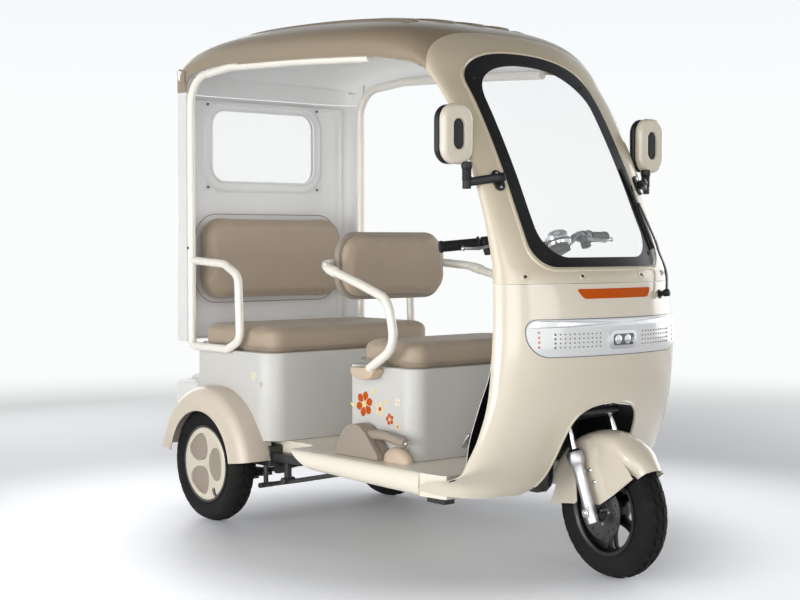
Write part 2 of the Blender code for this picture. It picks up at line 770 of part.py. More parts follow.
def build_driver_seat(frame):
    """The driver's box, cushion, backrest and the tube that is its arms and its back's carrier."""
    seat = node("driver_box", padded_box(DRIVER_REAR, DRIVER_FRONT, DRIVER_HALF,
                                         DECK_TOP + SEAT_GAP, DRIVER_TOP, DRIVER_CORNER, 0.006),
                PALE, frame)
    cut(seat, hollow(DRIVER_REAR, DRIVER_FRONT, DRIVER_HALF, DRIVER_TOP, DRIVER_CORNER))
    node("battery_block", box((DRIVER_REAR + 0.03, -BATTERY_HALF, DECK_TOP + SEAT_GAP),
                              (DRIVER_FRONT - 0.05, BATTERY_HALF, DECK_TOP + BATTERY_HIGH)),
         BLACK, frame)
    node("driver_cushion", padded_box(DRIVER_REAR + 0.03, DRIVER_FRONT + CUSHION_LIP,
                                      DRIVER_HALF + 0.004, DRIVER_TOP + SEAT_GAP,
                                      DRIVER_TOP + DRIVER_CUSHION_THICK, 0.060, 0.022),
         LEATHER, frame)
    back = rounded_outline(DRIVER_BACK_HALF, DRIVER_BACK_LOW, DRIVER_BACK_HIGH,
                           DRIVER_BACK_CORNER)
    bm = prism(back, lambda y, z: (DRIVER_BACK_X, y, z), (DRIVER_BACK_THICK, 0, 0))
    node("driver_backrest", soften(bm, 0.018, 2, 60), LEATHER, frame)

    carrier_x = DRIVER_BACK_X - ARM_RADIUS - SEAT_GAP
    half = [(0.780, ARM_HALF, DRIVER_TOP - 0.004), (0.905, ARM_HALF, 0.655),
            (0.872, ARM_HALF, 0.800), (0.740, ARM_HALF, 0.842),
            (0.545, ARM_HALF - 0.012, 0.893), (carrier_x, DRIVER_BACK_HALF + 0.020, 0.905)]
    loop = [(x, -y, z) for x, y, z in half] + [p for p in reversed(half)]
    arms = node("driver_arms", sweep(round_path(loop, 0.075), ARM_RADIUS), IVORY, frame)
    for side in (-1, 1):
        inner, outer = sorted((side * (DRIVER_HALF + SEAT_GAP), side * (ARM_HALF + 0.004)))
        add(arms, box((0.690, inner, DRIVER_TOP - 0.030), (0.800, outer, DRIVER_TOP - 0.003),
                      0.004, 1))


def build_side_loops(frame):
    """The tubes round the door openings, each with the bench's armrest welded on."""
    for side, name in ((-1, "right"), (1, "left")):
        y = side * RAIL_Y
        top = []
        for x in (0.10, 0.45, 0.84):
            height, half = roof_edge(x)
            top.append((x, side * (half - RAIL_IN), height - 0.006))
        path = [(RAIL_REAR, y, RAIL_LOW + 0.03), (RAIL_REAR, y, top[0][2] - 0.02)] + top
        loop = node("side_loop_" + name, sweep(round_path(path, 0.11), RAIL_RADIUS), IVORY, frame)
        arm = [(RAIL_REAR, y, 0.912), (0.050, y, 0.900), (0.136, y, 0.862), (0.146, y, 0.640),
               (0.070, y, RAIL_LOW), (RAIL_REAR, y, RAIL_LOW), (RAIL_REAR, y, RAIL_LOW + 0.06)]
        add(loop, sweep(round_path(arm, 0.045), ARM_RADIUS))


def arched_band(section, thick, first, last, steps):
    """A wall of even thickness: an open (across, radius) section turned through an arc."""
    inside = []
    for i, (across, radius) in enumerate(section):
        before, after = section[max(i - 1, 0)], section[min(i + 1, len(section) - 1)]
        along = Vector((after[0] - before[0], after[1] - before[1])).normalized()
        inside.append((across - along.y * thick, radius + along.x * thick))
    loop = list(section) + inside[::-1]
    bm = bmesh.new()
    rings = []
    for i in range(steps + 1):
        a = math.radians(first + (last - first) * i / steps)
        rings.append([bm.verts.new((r * math.cos(a), y, r * math.sin(a))) for y, r in loop])
    count = len(loop)
    for low, high in zip(rings, rings[1:]):
        for k in range(count):
            n = (k + 1) % count
            bm.faces.new((low[k], low[n], high[n], high[k]))
    bm.faces.new(rings[0])
    bm.faces.new(rings[-1])
    return bm


def build_fenders(frame):
    """Rear fenders: a crowned band round the tyre, rolled over into an outer skirt."""
    for side, name in ((-1, "right"), (1, "left")):
        inner, outer, r = FENDER_INNER_Y, FENDER_OUTER_Y, FENDER_RADIUS
        section = [(side * inner, r), (side * (inner + outer) / 2, r + FENDER_CROWN),
                   (side * (outer - 0.026), r + FENDER_CROWN / 2),
                   (side * (outer - 0.009), r - 0.010), (side * outer, r - 0.030),
                   (side * (outer - 0.001), r - FENDER_SKIRT)]
        bm = arched_band(section, FENDER_THICK * side * -1, FENDER_FROM, FENDER_TO, FENDER_STEPS)
        node("rear_fender_" + name, bm, TAN, frame, (0, 0, AXLE_LINE))


def build_chassis(frame):
    """The steel frame under the deck, the battery block, the rear axle and its springs."""
    z = FRAME_Z
    h = RAIL_BOX / 2
    top = DECK_TOP - DECK_THICK - SEAT_GAP
    over_axle = AXLE_LINE + AXLE_BEAM_RADIUS + 0.006
    rails = node("chassis_frame", box((KICK_X, -FRAME_HALF - h, z - h),
                                      (NECK_X, -FRAME_HALF + h, top)), DARK_STEEL, frame)
    add(rails, box((KICK_X, FRAME_HALF - h, z - h), (NECK_X, FRAME_HALF + h, top)))
    for side in (-1, 1):
        y = side * FRAME_HALF
        add(rails, box((SPRING_REAR, y - h, over_axle), (KICK_X + 0.01, y + h, top - 0.001)))
    for x in (KICK_X + h, 0.66, NECK_X - h):
        add(rails, box((x - h, -FRAME_HALF, z - h + 0.002), (x + h, FRAME_HALF, top - 0.002)))
    hanger = SPRING_Y + SPRING_WIDTH / 2
    spring_top = AXLE_LINE - AXLE_BEAM_RADIUS + SPRING_SAG
    for x in (-SPRING_HALF + h, SPRING_HALF - h):
        add(rails, box((x - h, -hanger, spring_top), (x + h, hanger, top - 0.003)))
    head = head_point(HEAD_TUBE_LOW)
    high = head_point(HEAD_TUBE_HIGH)
    add(rails, rod(head, high, HEAD_TUBE_RADIUS, 16))
    neck = round_path([(NECK_X - h, 0, z - 0.004), (1.232, 0, z - 0.004), (1.236, 0, 0.40),
                       (high[0] - 0.006, 0, high[2] - 0.03)], 0.035)
    add(rails, sweep(neck, 0.020))
    bore = COLUMN_RADIUS + BEARING_CLEARANCE
    cut(rails, rod(head_point(HEAD_TUBE_LOW - 0.02), head_point(HEAD_TUBE_HIGH + 0.02), bore, 16))

    inner = REAR_TRACK / 2 - BEAD_WIDTH / 2 - 0.012
    axle = node("rear_axle", rod((0, -inner, 0), (0, inner, 0), AXLE_BEAM_RADIUS, 16),
                DARK_STEEL, frame, (0, 0, AXLE_LINE))
    add(axle, rod((0, -REAR_TRACK / 2 - 0.02, 0), (0, REAR_TRACK / 2 + 0.02, 0), AXLE_RADIUS, 12))
    add(axle, rod((0, -0.085, 0), (0, 0.060, 0), MOTOR_RADIUS, 20))

    for side, name in ((-1, "right"), (1, "left")):
        y = side * SPRING_Y
        path = []
        for i in range(13):
            t = i / 12 * 2 - 1
            path.append((t * SPRING_HALF, y, AXLE_LINE - AXLE_BEAM_RADIUS - SEAT_GAP
                         - SPRING_THICK / 2 + SPRING_SAG * t * t))
        spring = node("leaf_spring_" + name, strap(path, SPRING_WIDTH, SPRING_THICK),
                      DARK_STEEL, frame)
        middle = [p for p in path if abs(p[0]) < 0.17]
        low = [(x, yy, zz - SPRING_THICK * 0.8) for x, yy, zz in middle]
        add(spring, strap(low, SPRING_WIDTH * 0.98, SPRING_THICK * 0.8))


def strap(path, width, thick):
    """A flat bar along a path in the x-z plane."""
    bm = bmesh.new()
    rings = []
    for i, p in enumerate(path):
        ahead = Vector(path[min(i + 1, len(path) - 1)]) - Vector(path[max(i - 1, 0)])
        ahead.normalize()
        up = Vector((-ahead.z, 0, ahead.x))
        across = Vector((0, width / 2, 0))
        rings.append([bm.verts.new(Vector(p) + a * across + b * up * thick / 2)
                      for a, b in ((-1, -1), (1, -1), (1, 1), (-1, 1))])
    for low, high in zip(rings, rings[1:]):
        for k in range(4):
            bm.faces.new((low[k], low[(k + 1) % 4], high[(k + 1) % 4], high[k]))
    bm.faces.new(rings[0])
    bm.faces.new(rings[-1])
    return bm


def head_point(along, across=0.0, ahead=0.0):
    """A point on or beside the raked steering axis, in the frame of the rear axle."""
    s, c = math.sin(HEAD_RAKE), math.cos(HEAD_RAKE)
    return Vector((WHEELBASE - along * s + ahead * c, across, AXLE_LINE + along * c + ahead * s))


def cowl_point(height, across):
    """The point of the cowl's outer face at a height and a distance off centre."""
    rows = CAB[SHELL_END:COWL_END + 1]
    for low, high in zip(rows, rows[1:]):
        if high[1] >= height:
            break
    t = (height - low[1]) / (high[1] - low[1])
    edge_x, edge_z, half, centre_x, centre_z, power = (a + (b - a) * t
                                                       for a, b in zip(low, high))
    k = max(0.0, 1 - (abs(across) / half) ** power) ** (1 / power)
    return Vector((edge_x + (centre_x - edge_x) * k, across, height))


def cowl_normal(height, across, step=0.008):
    """The outward direction of the cowl's face there."""
    along = cowl_point(height, across + step) - cowl_point(height, across - step)
    up = cowl_point(height + step, across) - cowl_point(height - step, across)
    return along.cross(up).normalized()


def build_mirrors(frame):
    """Mirrors on arms from the windscreen pillars, each with a recess in its back."""
    for side, name in ((-1, "right"), (1, "left")):
        centre_z = (MIRROR_LOW + MIRROR_HIGH) / 2
        half_z = (MIRROR_HIGH - MIRROR_LOW) / 2
        outline = rounded_outline(MIRROR_HALF, -half_z, half_z, 0.044)
        y = side * MIRROR_Y
        shell = prism(outline, lambda a, z: (MIRROR_X - MIRROR_DEPTH / 2, y + a, centre_z + z),
                      (MIRROR_DEPTH, 0, 0))
        mirror = node("mirror_" + name, soften(shell, 0.012, 2, 60), CREAM, frame)
        oval = rounded_outline(0.022, -0.045, 0.045, 0.0215)
        face = MIRROR_X + MIRROR_DEPTH / 2 - MIRROR_RECESS
        cut(mirror, prism(oval, lambda a, z: (face, y + a, centre_z + z), (0.05, 0, 0)))
        base = cowl_point(MIRROR_BASE_Z, side * MIRROR_BASE_Y)
        normal = cowl_normal(MIRROR_BASE_Z, side * MIRROR_BASE_Y)
        foot = base + normal * 0.0007
        stalk = Vector((1.285, side * 0.385, MIRROR_BASE_Z - 0.005))
        add(mirror, rod(stalk - Vector((0, 0, 0.014)), (stalk.x, stalk.y, MIRROR_LOW + 0.02),
                        0.012, 12))
        knee = foot + normal * 0.028
        add(mirror, rod(foot + normal * 0.002, knee, 0.012, 10))
        add(mirror, sweep([knee - (stalk - knee).normalized() * 0.008, stalk], 0.009, 8))
        along = Vector((-0.45, 0.0, 0.9)).normalized()
        along = (along - normal * along.dot(normal)).normalized()
        across = along.cross(normal)
        plate = rounded_outline(0.017, -0.032, 0.032, 0.0165)
        add(mirror, prism(plate, lambda a, b: foot + across * a + along * b, normal * 0.007))


def build_wiper(frame):
    """The wiper beside the windscreen's left edge: spindle, arm and blade."""
    spindle = cowl_point(0.885, 0.238)
    out = cowl_normal(0.885, 0.238)
    route = [spindle + out * 0.016]
    for height, across, lift in ((0.985, 0.262, 0.017), (1.095, 0.255, 0.012)):
        route.append(cowl_point(height, across) + out * lift)
    wiper = node("wiper", sweep(route, 0.0045, 8), BLACK, frame)
    add(wiper, rod(spindle + out * 0.0010, spindle + out * 0.024, 0.011, 12))


def build_small_controls(frame):
    """Parking brake beside the driver's box, and the foot brake pedal."""
    y0 = -DRIVER_HALF - 0.006
    hump = [(0.640, 0), (0.665, 0.052), (0.700, 0.098), (0.745, 0.103), (0.790, 0.074),
            (0.835, 0.030), (0.845, 0)]
    bm = prism([(x, DECK_TOP + SEAT_GAP + z) for x, z in hump],
               lambda x, z: (x, y0, z), (0, -0.056, 0))
    brake = node("parking_brake", soften(bm, 0.012, 2, 50), TAUPE, frame)
    lever = round_path([(0.760, y0 - 0.024, 0.370), (0.850, y0 - 0.024, 0.378),
                        (0.960, y0 - 0.024, 0.352)], 0.05)
    add(brake, sweep(lever, 0.012, 10))

    pedal_x, pedal_y = 1.115, -0.196
    route = [(pedal_x + 0.045, pedal_y, DECK_TOP + SEAT_GAP), (pedal_x + 0.045, pedal_y, 0.345),
             (pedal_x - 0.006, pedal_y, 0.380)]
    foot = node("brake_pedal", sweep(route, 0.007), DARK_STEEL, frame)
    pad = box((-0.010, -0.036, -0.028), (0.0, 0.036, 0.028), 0.004)
    tilt = Matrix.Translation((pedal_x, pedal_y, 0.376)) @ Matrix.Rotation(0.7, 4, "Y")
    bmesh.ops.transform(pad, matrix=tilt, verts=pad.verts)
    add(foot, pad)


def build_tail(frame):
    """The low box behind the bench, and the tail lamps on it."""
    tail = box((TAIL_X, -TAIL_HALF, DECK_TOP + SEAT_GAP),
               (BENCH_REAR - SEAT_GAP * 2, TAIL_HALF, TAIL_TOP), 0.020, 3)
    pad = rounded_outline(PLATE_HALF, PLATE_LOW, PLATE_HIGH, 0.010, 3)
    box_node = node("tail_box", tail, PALE, frame)
    add(box_node, prism(pad, lambda y, z: (TAIL_X - PLATE_RAISE, y, z), (0.03, 0, 0)))
    for side, name in ((-1, "right"), (1, "left")):
        y = side * (TAIL_HALF - 0.065)
        lamp = box((TAIL_X - LAMP_RAISE, y - 0.045, 0.385), (TAIL_X - SEAT_GAP, y + 0.045, 0.455),
                   0.006)
        node("tail_lamp_" + name, lamp, RED_LENS, frame)


def build_leg_shield(frame):
    """The inner panel in front of the driver's knees, slotted for the steering column."""
    profile = spline([(1.186, DECK_TOP + SEAT_GAP), (1.196, 0.345), (1.208, 0.400),
                      (1.248, 0.500), (1.291, 0.600), (1.303, 0.700), (1.307, SHIELD_TOP)], 1)
    back = [(x + SHIELD_THICK, z) for x, z in reversed(profile)]
    panel = prism(profile + back, lambda x, z: (x, -SHIELD_HALF, z), (0, 2 * SHIELD_HALF, 0))
    shield = node("leg_shield", panel, PALE, frame)
    slot = rounded_outline(0.045, 0.630, 1.00, 0.040)
    cut(shield, prism(slot, lambda y, z: (1.15, y, z), (0.30, 0, 0)))


def build_steering(frame):
    """Everything that turns with the handlebar, built straight ahead on the raked axis."""
    head = empty("steering_axis", (WHEELBASE, 0, AXLE_LINE), frame, (0, -HEAD_RAKE, 0))
    turn = empty("steering_turn", (0, 0, 0), head, (0, 0, STEER_AT_REST))

    fork = node("fork", rod((0, 0, YOKE_LOW + 0.005), (0, 0, COLUMN_TOP), COLUMN_RADIUS, 16),
                SILVER, turn)
    add(fork, box((-YOKE_DEPTH / 2, -LEG_SPREAD - 0.024, YOKE_LOW),
                  (YOKE_DEPTH / 2, LEG_SPREAD + 0.024, YOKE_HIGH), 0.008))
    for side in (-1, 1):
        y = side * LEG_SPREAD
        add(fork, rod((0, y, SLIDER_TOP - 0.01), (0, y, YOKE_HIGH + 0.012), STANCHION_RADIUS, 12))
        add(fork, rod((0, y, -0.028), (0, y, SLIDER_TOP), SLIDER_RADIUS * 0.85, 14, SLIDER_RADIUS))
        add(fork, rod((0, side * (FENDER_HALF + SEAT_GAP), FENDER_LUG),
                      (0, side * LEG_SPREAD, FENDER_LUG), 0.006, 8))
    add(fork, rod((0, -LEG_SPREAD - 0.026, 0), (0, LEG_SPREAD + 0.026, 0), AXLE_RADIUS, 12))

    build_front_fender(turn)
    build_bars(turn)

    wheel = empty("front_axle", (0, 0, 0), turn, (0, HEAD_RAKE, 0))
    build_front_wheel(wheel)


def build_front_fender(turn):
    """A short fender close round the front tyre."""
    radius = TYRE_RADIUS - 0.006
    half = FENDER_HALF
    arc = []
    for i in range(12):
        a = math.radians(30 + 135 * i / 11) - HEAD_RAKE
        arc.append(a)
    bm = bmesh.new()
    section = []
    for k in range(7):
        b = math.pi * (k / 6)
        section.append((half * math.cos(b), 0.030 * math.sin(b)))
    skirt = [(half, -0.040)] + section + [(-half, -0.040)]
    rings = []
    for a in arc:
        ring = []
        for y, rise in skirt:
            r = radius + rise
            ring.append(bm.verts.new((r * math.cos(a), y, r * math.sin(a))))
        inner = []
        for y, rise in skirt:
            r = radius + rise - (0.003 if rise > -0.01 else 0.0)
            yy = y - math.copysign(0.003, y) if abs(y) > 0.02 else y
            inner.append(bm.verts.new((r * math.cos(a), yy, r * math.sin(a))))
        rings.append(ring + inner[::-1])
    count = len(rings[0])
    for low, high in zip(rings, rings[1:]):
        for k in range(count):
            n = (k + 1) % count
            bm.faces.new((low[k], low[n], high[n], high[k]))
    bm.faces.new(rings[0])
    bm.faces.new(rings[-1])
    node("front_fender", bm, CREAM, turn)


def build_bars(turn):
    """Handlebar with its clamp, switch blocks, levers and grips, and the round pod."""
    top = COLUMN_TOP
    ahead, across, rise = BAR_KNEE
    half = [(BAR_AHEAD, 0.0, top + 0.004), (BAR_AHEAD, 0.070, top + 0.004),
            (ahead, across, top + rise), (-BAR_SWEEP, BAR_HALF, top + BAR_RISE)]
    path = [(x, -y, z) for x, y, z in reversed(half)] + half[1:]
    bar = node("handlebar", sweep(round_path(path, 0.05), BAR_RADIUS), DARK_STEEL, turn)
    for side, name in ((-1, "right"), (1, "left")):
        end = Vector(half[3])
        along = (end - Vector(half[2])).normalized()
        near = end - along * GRIP_LENGTH
        mirror = Vector((1, side, 1))
        start, stop = near * mirror, (end + along * 0.004) * mirror
        grip = node("grip_" + name, rod(start, stop, GRIP_RADIUS, 12), RUBBER, turn)
        cut(grip, rod((near - along * 0.01) * mirror, (end + along * 0.0005) * mirror,
                      BAR_RADIUS + 0.0006, 12))
        block = near - along * 0.024
        add(bar, rod((block - along * 0.020) * mirror, (block + along * 0.020) * mirror,
                     0.019, 12))
        lever = [block, block + Vector((0.022, 0.010, -0.016)),
                 block + Vector((0.024, 0.055, -0.024)), block + Vector((0.006, 0.100, -0.016))]
        add(bar, sweep(round_path([p * mirror for p in lever], 0.02), LEVER_RADIUS, 6))
    add(bar, box((-0.020, -0.028, top - 0.040), (BAR_AHEAD + 0.010, 0.028, top - 0.004)))
    add(bar, box((BAR_AHEAD, -0.024, top - 0.036), (POD_AHEAD + 0.020, 0.024, top - 0.016)))
    cut(bar, rod((0, 0, top - 0.06), (0, 0, top + SEAT_GAP), COLUMN_RADIUS + SEAT_GAP, 16))
    dome = turned([(0.0, 0.0), (POD_RADIUS * 0.8, 0.0), (POD_RADIUS, 0.010), (POD_RADIUS, 0.028),
                   (POD_RADIUS * 0.8, 0.043), (POD_RADIUS * 0.42, 0.050), (0.0, 0.052)], 18, "Z")
    bmesh.ops.translate(dome, vec=(POD_AHEAD, 0, top - 0.016 + SEAT_GAP), verts=dome.verts)
    node("instrument_pod", dome, SILVER, turn)


def tyre_profile():
    """Half-round tyre section as (radius, along) points."""
    half_bead = BEAD_WIDTH / 2
    half = TYRE_WIDTH / 2
    side = [(BEAD_RADIUS, half_bead), (BEAD_RADIUS + FLANGE_HEIGHT + 0.002, half_bead),
            (BEAD_RADIUS + 0.034, half), (TYRE_RADIUS - 0.018, half - 0.004),
            (TYRE_RADIUS - 0.004, half - 0.020)]
    return side + [(TYRE_RADIUS, 0.0)] + [(r, -y) for r, y in reversed(side)]


def rim_profile(hub_radius, hub_half, web, disc_side):
    """Rim, web and hub in one turned outline as (radius, along) points."""
    outer = BEAD_RADIUS - SEAT_GAP
    half = BEAD_WIDTH / 2 + SEAT_GAP
    bore = AXLE_RADIUS + BORE_CLEARANCE
    right = [(outer, half), (outer + FLANGE_HEIGHT, half),
             (outer + FLANGE_HEIGHT, half + FLANGE_THICK), (outer - RIM_WALL, half + FLANGE_THICK),
             (outer - RIM_WALL - 0.008, web), (hub_radius + 0.004, web),
             (hub_radius, hub_half), (bore, hub_half)]
    left = [(r, -y) for r, y in right[:-2]] + [(hub_radius, -disc_side), (bore, -disc_side)]
    return right + left[::-1]


def build_front_wheel(wheel):
    """Front tyre, spoked rim and brake disc, turning about the axle."""
    node("front_tyre", turned(tyre_profile()), RUBBER, wheel)
    rim = node("front_rim", turned(rim_profile(FRONT_HUB_RADIUS, FRONT_HUB_HALF, 0.010,
                                                DISC_PLANE - DISC_THICK / 2 - SEAT_GAP)),
               DARK_STEEL, wheel)
    windows = []
    low, high = FRONT_HUB_RADIUS + 0.010, BEAD_RADIUS - RIM_WALL - 0.018
    for k in range(FRONT_SPOKES):
        a0 = 2 * math.pi * k / FRONT_SPOKES
        gap = math.pi / FRONT_SPOKES * 0.62
        outline = []
        for i in range(5):
            a = a0 - gap + 2 * gap * i / 4
            outline.append((high * math.cos(a), high * math.sin(a)))
        for i in range(3):
            a = a0 + gap * 0.7 - 1.4 * gap * i / 2
            outline.append((low * math.cos(a), low * math.sin(a)))
        windows.append(prism(outline, lambda x, z: (x, -0.03, z), (0, 0.06, 0)))
    cut(rim, *windows)
    disc = turned([(DISC_RADIUS, DISC_THICK / 2), (0.030, DISC_THICK / 2),
                   (0.030, -DISC_THICK / 2), (DISC_RADIUS, -DISC_THICK / 2)])
    bmesh.ops.translate(disc, vec=(0, -DISC_PLANE, 0), verts=disc.verts)
    node("front_disc", disc, SILVER, wheel)


def build_rear_wheels(frame):
    """Rear tyres and rims with their lobed caps."""
    for side, name in ((-1, "right"), (1, "left")):
        wheel = empty("rear_axle_" + name, (0, side * REAR_TRACK / 2, AXLE_LINE), frame)
        node("rear_tyre_" + name, turned(tyre_profile()), RUBBER, wheel)
        outer = BEAD_RADIUS - SEAT_GAP
        half = BEAD_WIDTH / 2 + SEAT_GAP
        bore = AXLE_RADIUS + BORE_CLEARANCE
        s = side
        profile = [(outer, -s * half), (outer + FLANGE_HEIGHT, -s * (half + 0.001)),
                   (outer + FLANGE_HEIGHT, -s * (half + FLANGE_THICK)),
                   (outer - RIM_WALL, -s * (half + FLANGE_THICK)),
                   (outer - RIM_WALL - 0.003, 0.0), (0.060, s * 0.010), (0.055, -s * 0.030),
                   (bore, -s * 0.030), (bore, s * 0.026)]
        cap = [(0.020, s * 0.028), (0.100, s * (CAP_STANDOUT + 0.004)),
               (CAP_RADIUS - 0.006, s * (CAP_STANDOUT + 0.002)),
               (CAP_RADIUS + 0.004, s * (CAP_STANDOUT - 0.0015)), (outer, s * half)]
        rim = node("rear_rim_" + name, turned(profile + cap), CREAM, wheel)
        lobes = []
        for k in range(CAP_LOBES):
            a = math.radians(40) + 2 * math.pi * k / CAP_LOBES
            centre = Vector((LOBE_REACH * math.cos(a), 0, LOBE_REACH * math.sin(a)))
            depth = s * (CAP_STANDOUT - LOBE_DEPTH)
            lobes.append(rod(centre + Vector((0, depth, 0)), centre + Vector((0, s * 0.06, 0)),
                             LOBE_RADIUS, LOBE_SIDES))
        cut(rim, *lobes)


def main():
    clear_scene()
    frame = empty("rear_axle_line", (REAR_AXLE_X, 0, TYRE_RADIUS - AXLE_LINE))
    build_deck(frame)
    build_cab(frame)
    build_rear(frame)
    build_bench(frame)
    build_driver_seat(frame)
    build_side_loops(frame)
    build_fenders(frame)
    build_chassis(frame)
    build_mirrors(frame)
    build_wiper(frame)
    build_small_controls(frame)
    build_tail(frame)
    build_leg_shield(frame)
    build_steering(frame)
    build_rear_wheels(frame)


main()
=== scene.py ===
"""Looks of the electric passenger tricycle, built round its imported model.

Pieces are drawn in metres from the rear axle, as the vehicle's own plans are: x forward from the
axle line, y to the vehicle's left, z up from the ground. Turning pieces are drawn on the raked head.
"""

import math

import bmesh
import bpy
from mathutils import Matrix, Vector
from mathutils.bvhtree import BVHTree


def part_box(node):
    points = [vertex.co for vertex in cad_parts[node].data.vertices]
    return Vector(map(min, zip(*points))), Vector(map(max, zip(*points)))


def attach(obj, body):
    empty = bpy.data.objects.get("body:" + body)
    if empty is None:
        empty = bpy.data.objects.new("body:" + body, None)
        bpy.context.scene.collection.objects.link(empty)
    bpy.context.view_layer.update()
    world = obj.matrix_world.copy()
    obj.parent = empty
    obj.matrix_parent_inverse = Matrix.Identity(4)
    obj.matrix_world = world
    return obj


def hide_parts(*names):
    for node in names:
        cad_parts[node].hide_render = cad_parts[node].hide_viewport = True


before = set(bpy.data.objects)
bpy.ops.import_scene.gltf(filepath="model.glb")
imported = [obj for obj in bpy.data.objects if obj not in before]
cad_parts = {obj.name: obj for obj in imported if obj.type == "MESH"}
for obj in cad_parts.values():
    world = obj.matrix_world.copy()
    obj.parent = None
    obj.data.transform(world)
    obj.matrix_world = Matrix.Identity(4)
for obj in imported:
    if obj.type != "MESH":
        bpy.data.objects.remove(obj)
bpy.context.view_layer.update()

# Datum from the frame
AXLE_LOW, AXLE_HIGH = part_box("rear_axle")
AXLE_X = (AXLE_LOW[0] + AXLE_HIGH[0]) / 2
AXLE_Z = 0.203
WHEELBASE = 1.497
REAR_TRACK = 0.795
RAKE = math.radians(21.0)
TURN = math.radians(-7.5)
BODY_AT = Matrix.Translation((AXLE_X, 0, 0))
HEAD_AT = (Matrix.Translation((AXLE_X + WHEELBASE, 0, AXLE_Z)) @ Matrix.Rotation(-RAKE, 4, "Y")
           @ Matrix.Rotation(TURN, 4, "Z"))
FRONT_HUB_AT = HEAD_AT @ Matrix.Rotation(RAKE, 4, "Y")

# Camera, fitted to the photograph
SENSOR = 36.0
LENS = 66.52
CAMERA_X = 4.3622
CAMERA_Y = -3.235
CAMERA_Z = 0.9836
CAMERA_AZIMUTH = 49.772
CAMERA_PITCH = 2.328

HORIZON = (0.965, 0.98, 0.98, 1)
SKY = (0.90, 0.93, 0.975, 1)
CEILING = (0.12, 0.12, 0.125, 1)
SOFT_LOW = (0.66, 0.655, 0.64, 1)
SOFT_HIGH = (0.05, 0.05, 0.05, 1)
LAMPS = (
    ("key", (3.4, -3.6, 1.4), (0.5, 0.0, 0.7), 2.6, 64),
    ("front", (4.7, -0.5, 1.3), (0.4, 0.0, 0.7), 2.2, 40),
    ("side", (-0.4, -4.4, 1.6), (0.0, 0.0, 0.7), 2.4, 54),
    ("low", (0.2, -3.4, 0.35), (-0.3, 0.0, 1.35), 1.6, 44),
    ("far", (0.6, 4.2, 1.6), (0.0, 0.0, 0.8), 2.6, 50),
    ("top", (0.8, -1.2, 4.6), (0.0, 0.0, 0.0), 3.0, 10),
    ("back", (-4.0, 0.4, 1.9), (0.0, 0.0, 0.8), 2.4, 45),
)
# Strength of the camera-only glow on the floor: painted light in a ring round the vehicle, none under it.
FLOOR_PAINTED_LIGHT = 0.42
FLOOR_PAINTED_LIGHT_TONE = (0.93, 0.95, 1.0, 1)
FLOOR_TONES = ((0.76, 0.78, 0.82, 1), (0.86, 0.87, 0.89, 1))

# Cab stations: edge x, edge z, half width, centre x, centre z, roundness
SHELL_STATIONS = (
    (1.105, 0.250, 0.410, 1.330, 0.236, 3.0),
    (1.130, 0.274, 0.411, 1.364, 0.268, 2.6),
    (1.214, 0.288, 0.408, 1.402, 0.322, 2.25),
    (1.276, 0.310, 0.403, 1.434, 0.378, 2.0),
    (1.306, 0.358, 0.397, 1.470, 0.455, 2.0),
    (1.339, 0.428, 0.388, 1.498, 0.535, 2.0),
    (1.366, 0.535, 0.377, 1.518, 0.620, 2.0),
    (1.376, 0.700, 0.370, 1.530, 0.720, 2.0),
    (1.362, 0.858, 0.356, 1.506, 0.860, 2.1),
)
COWL_STATIONS = (
    (1.352, 0.930, 0.352, 1.460, 0.930, 2.4),
    (1.318, 1.050, 0.350, 1.390, 1.050, 2.8),
    (1.274, 1.170, 0.350, 1.329, 1.170, 3.0),
    (1.222, 1.290, 0.350, 1.263, 1.290, 3.0),
    (1.160, 1.390, 0.352, 1.203, 1.390, 3.0),
    (1.098, 1.465, 0.358, 1.150, 1.465, 3.0),
    (1.050, 1.505, 0.366, 1.095, 1.553, 3.0),
    (0.980, 1.524, 0.378, 1.010, 1.630, 3.0),
)
ROOF_STATIONS = (
    (0.850, 1.545, 0.394, 0.860, 1.672, 3.0),
    (0.600, 1.562, 0.405, 0.600, 1.698, 3.0),
    (0.300, 1.576, 0.410, 0.300, 1.712, 3.0),
    (0.060, 1.584, 0.410, 0.050, 1.712, 3.0),
    (-0.080, 1.573, 0.410, -0.110, 1.692, 3.2),
    (-0.134, 1.556, 0.410, -0.222, 1.645, 3.8),
    (-0.154, 1.534, 0.409, -0.266, 1.585, 4.2),
    (-0.160, 1.508, 0.407, -0.280, 1.512, 5.0),
)
REAR_STATION = (-0.160, 0.620, 0.407, -0.280, 0.620, 5.0)
CAB = SHELL_STATIONS + COWL_STATIONS + ROOF_STATIONS + (REAR_STATION,)
SHELL_END = len(SHELL_STATIONS) - 1
COWL_END = SHELL_END + len(COWL_STATIONS)
ROOF_END = COWL_END + len(ROOF_STATIONS)
REAR_END = ROOF_END + 1
ROWS_BETWEEN = 14
COLUMNS = 128
SHELL_THICK = 0.005
REAR_FACE_X = REAR_STATION[3]

# Openings in the cab
# Screen and glass: half width, top, spring of the arch, low edge, corner
SCREEN = (0.268, 1.553, 1.435, 0.906, 0.070)
GLASS = (0.226, 1.515, 1.385, 0.933, 0.085)
LAMP_HALF = 0.316
LAMP_LOW = 0.656
LAMP_HIGH = 0.759
LAMP_SMALL_CORNER = 0.030
LAMP_LARGE_CORNER = 0.064
WINDOW_HALF = 0.235
WINDOW_LOW = 1.198
WINDOW_HIGH = 1.464
WINDOW_CORNER = 0.055

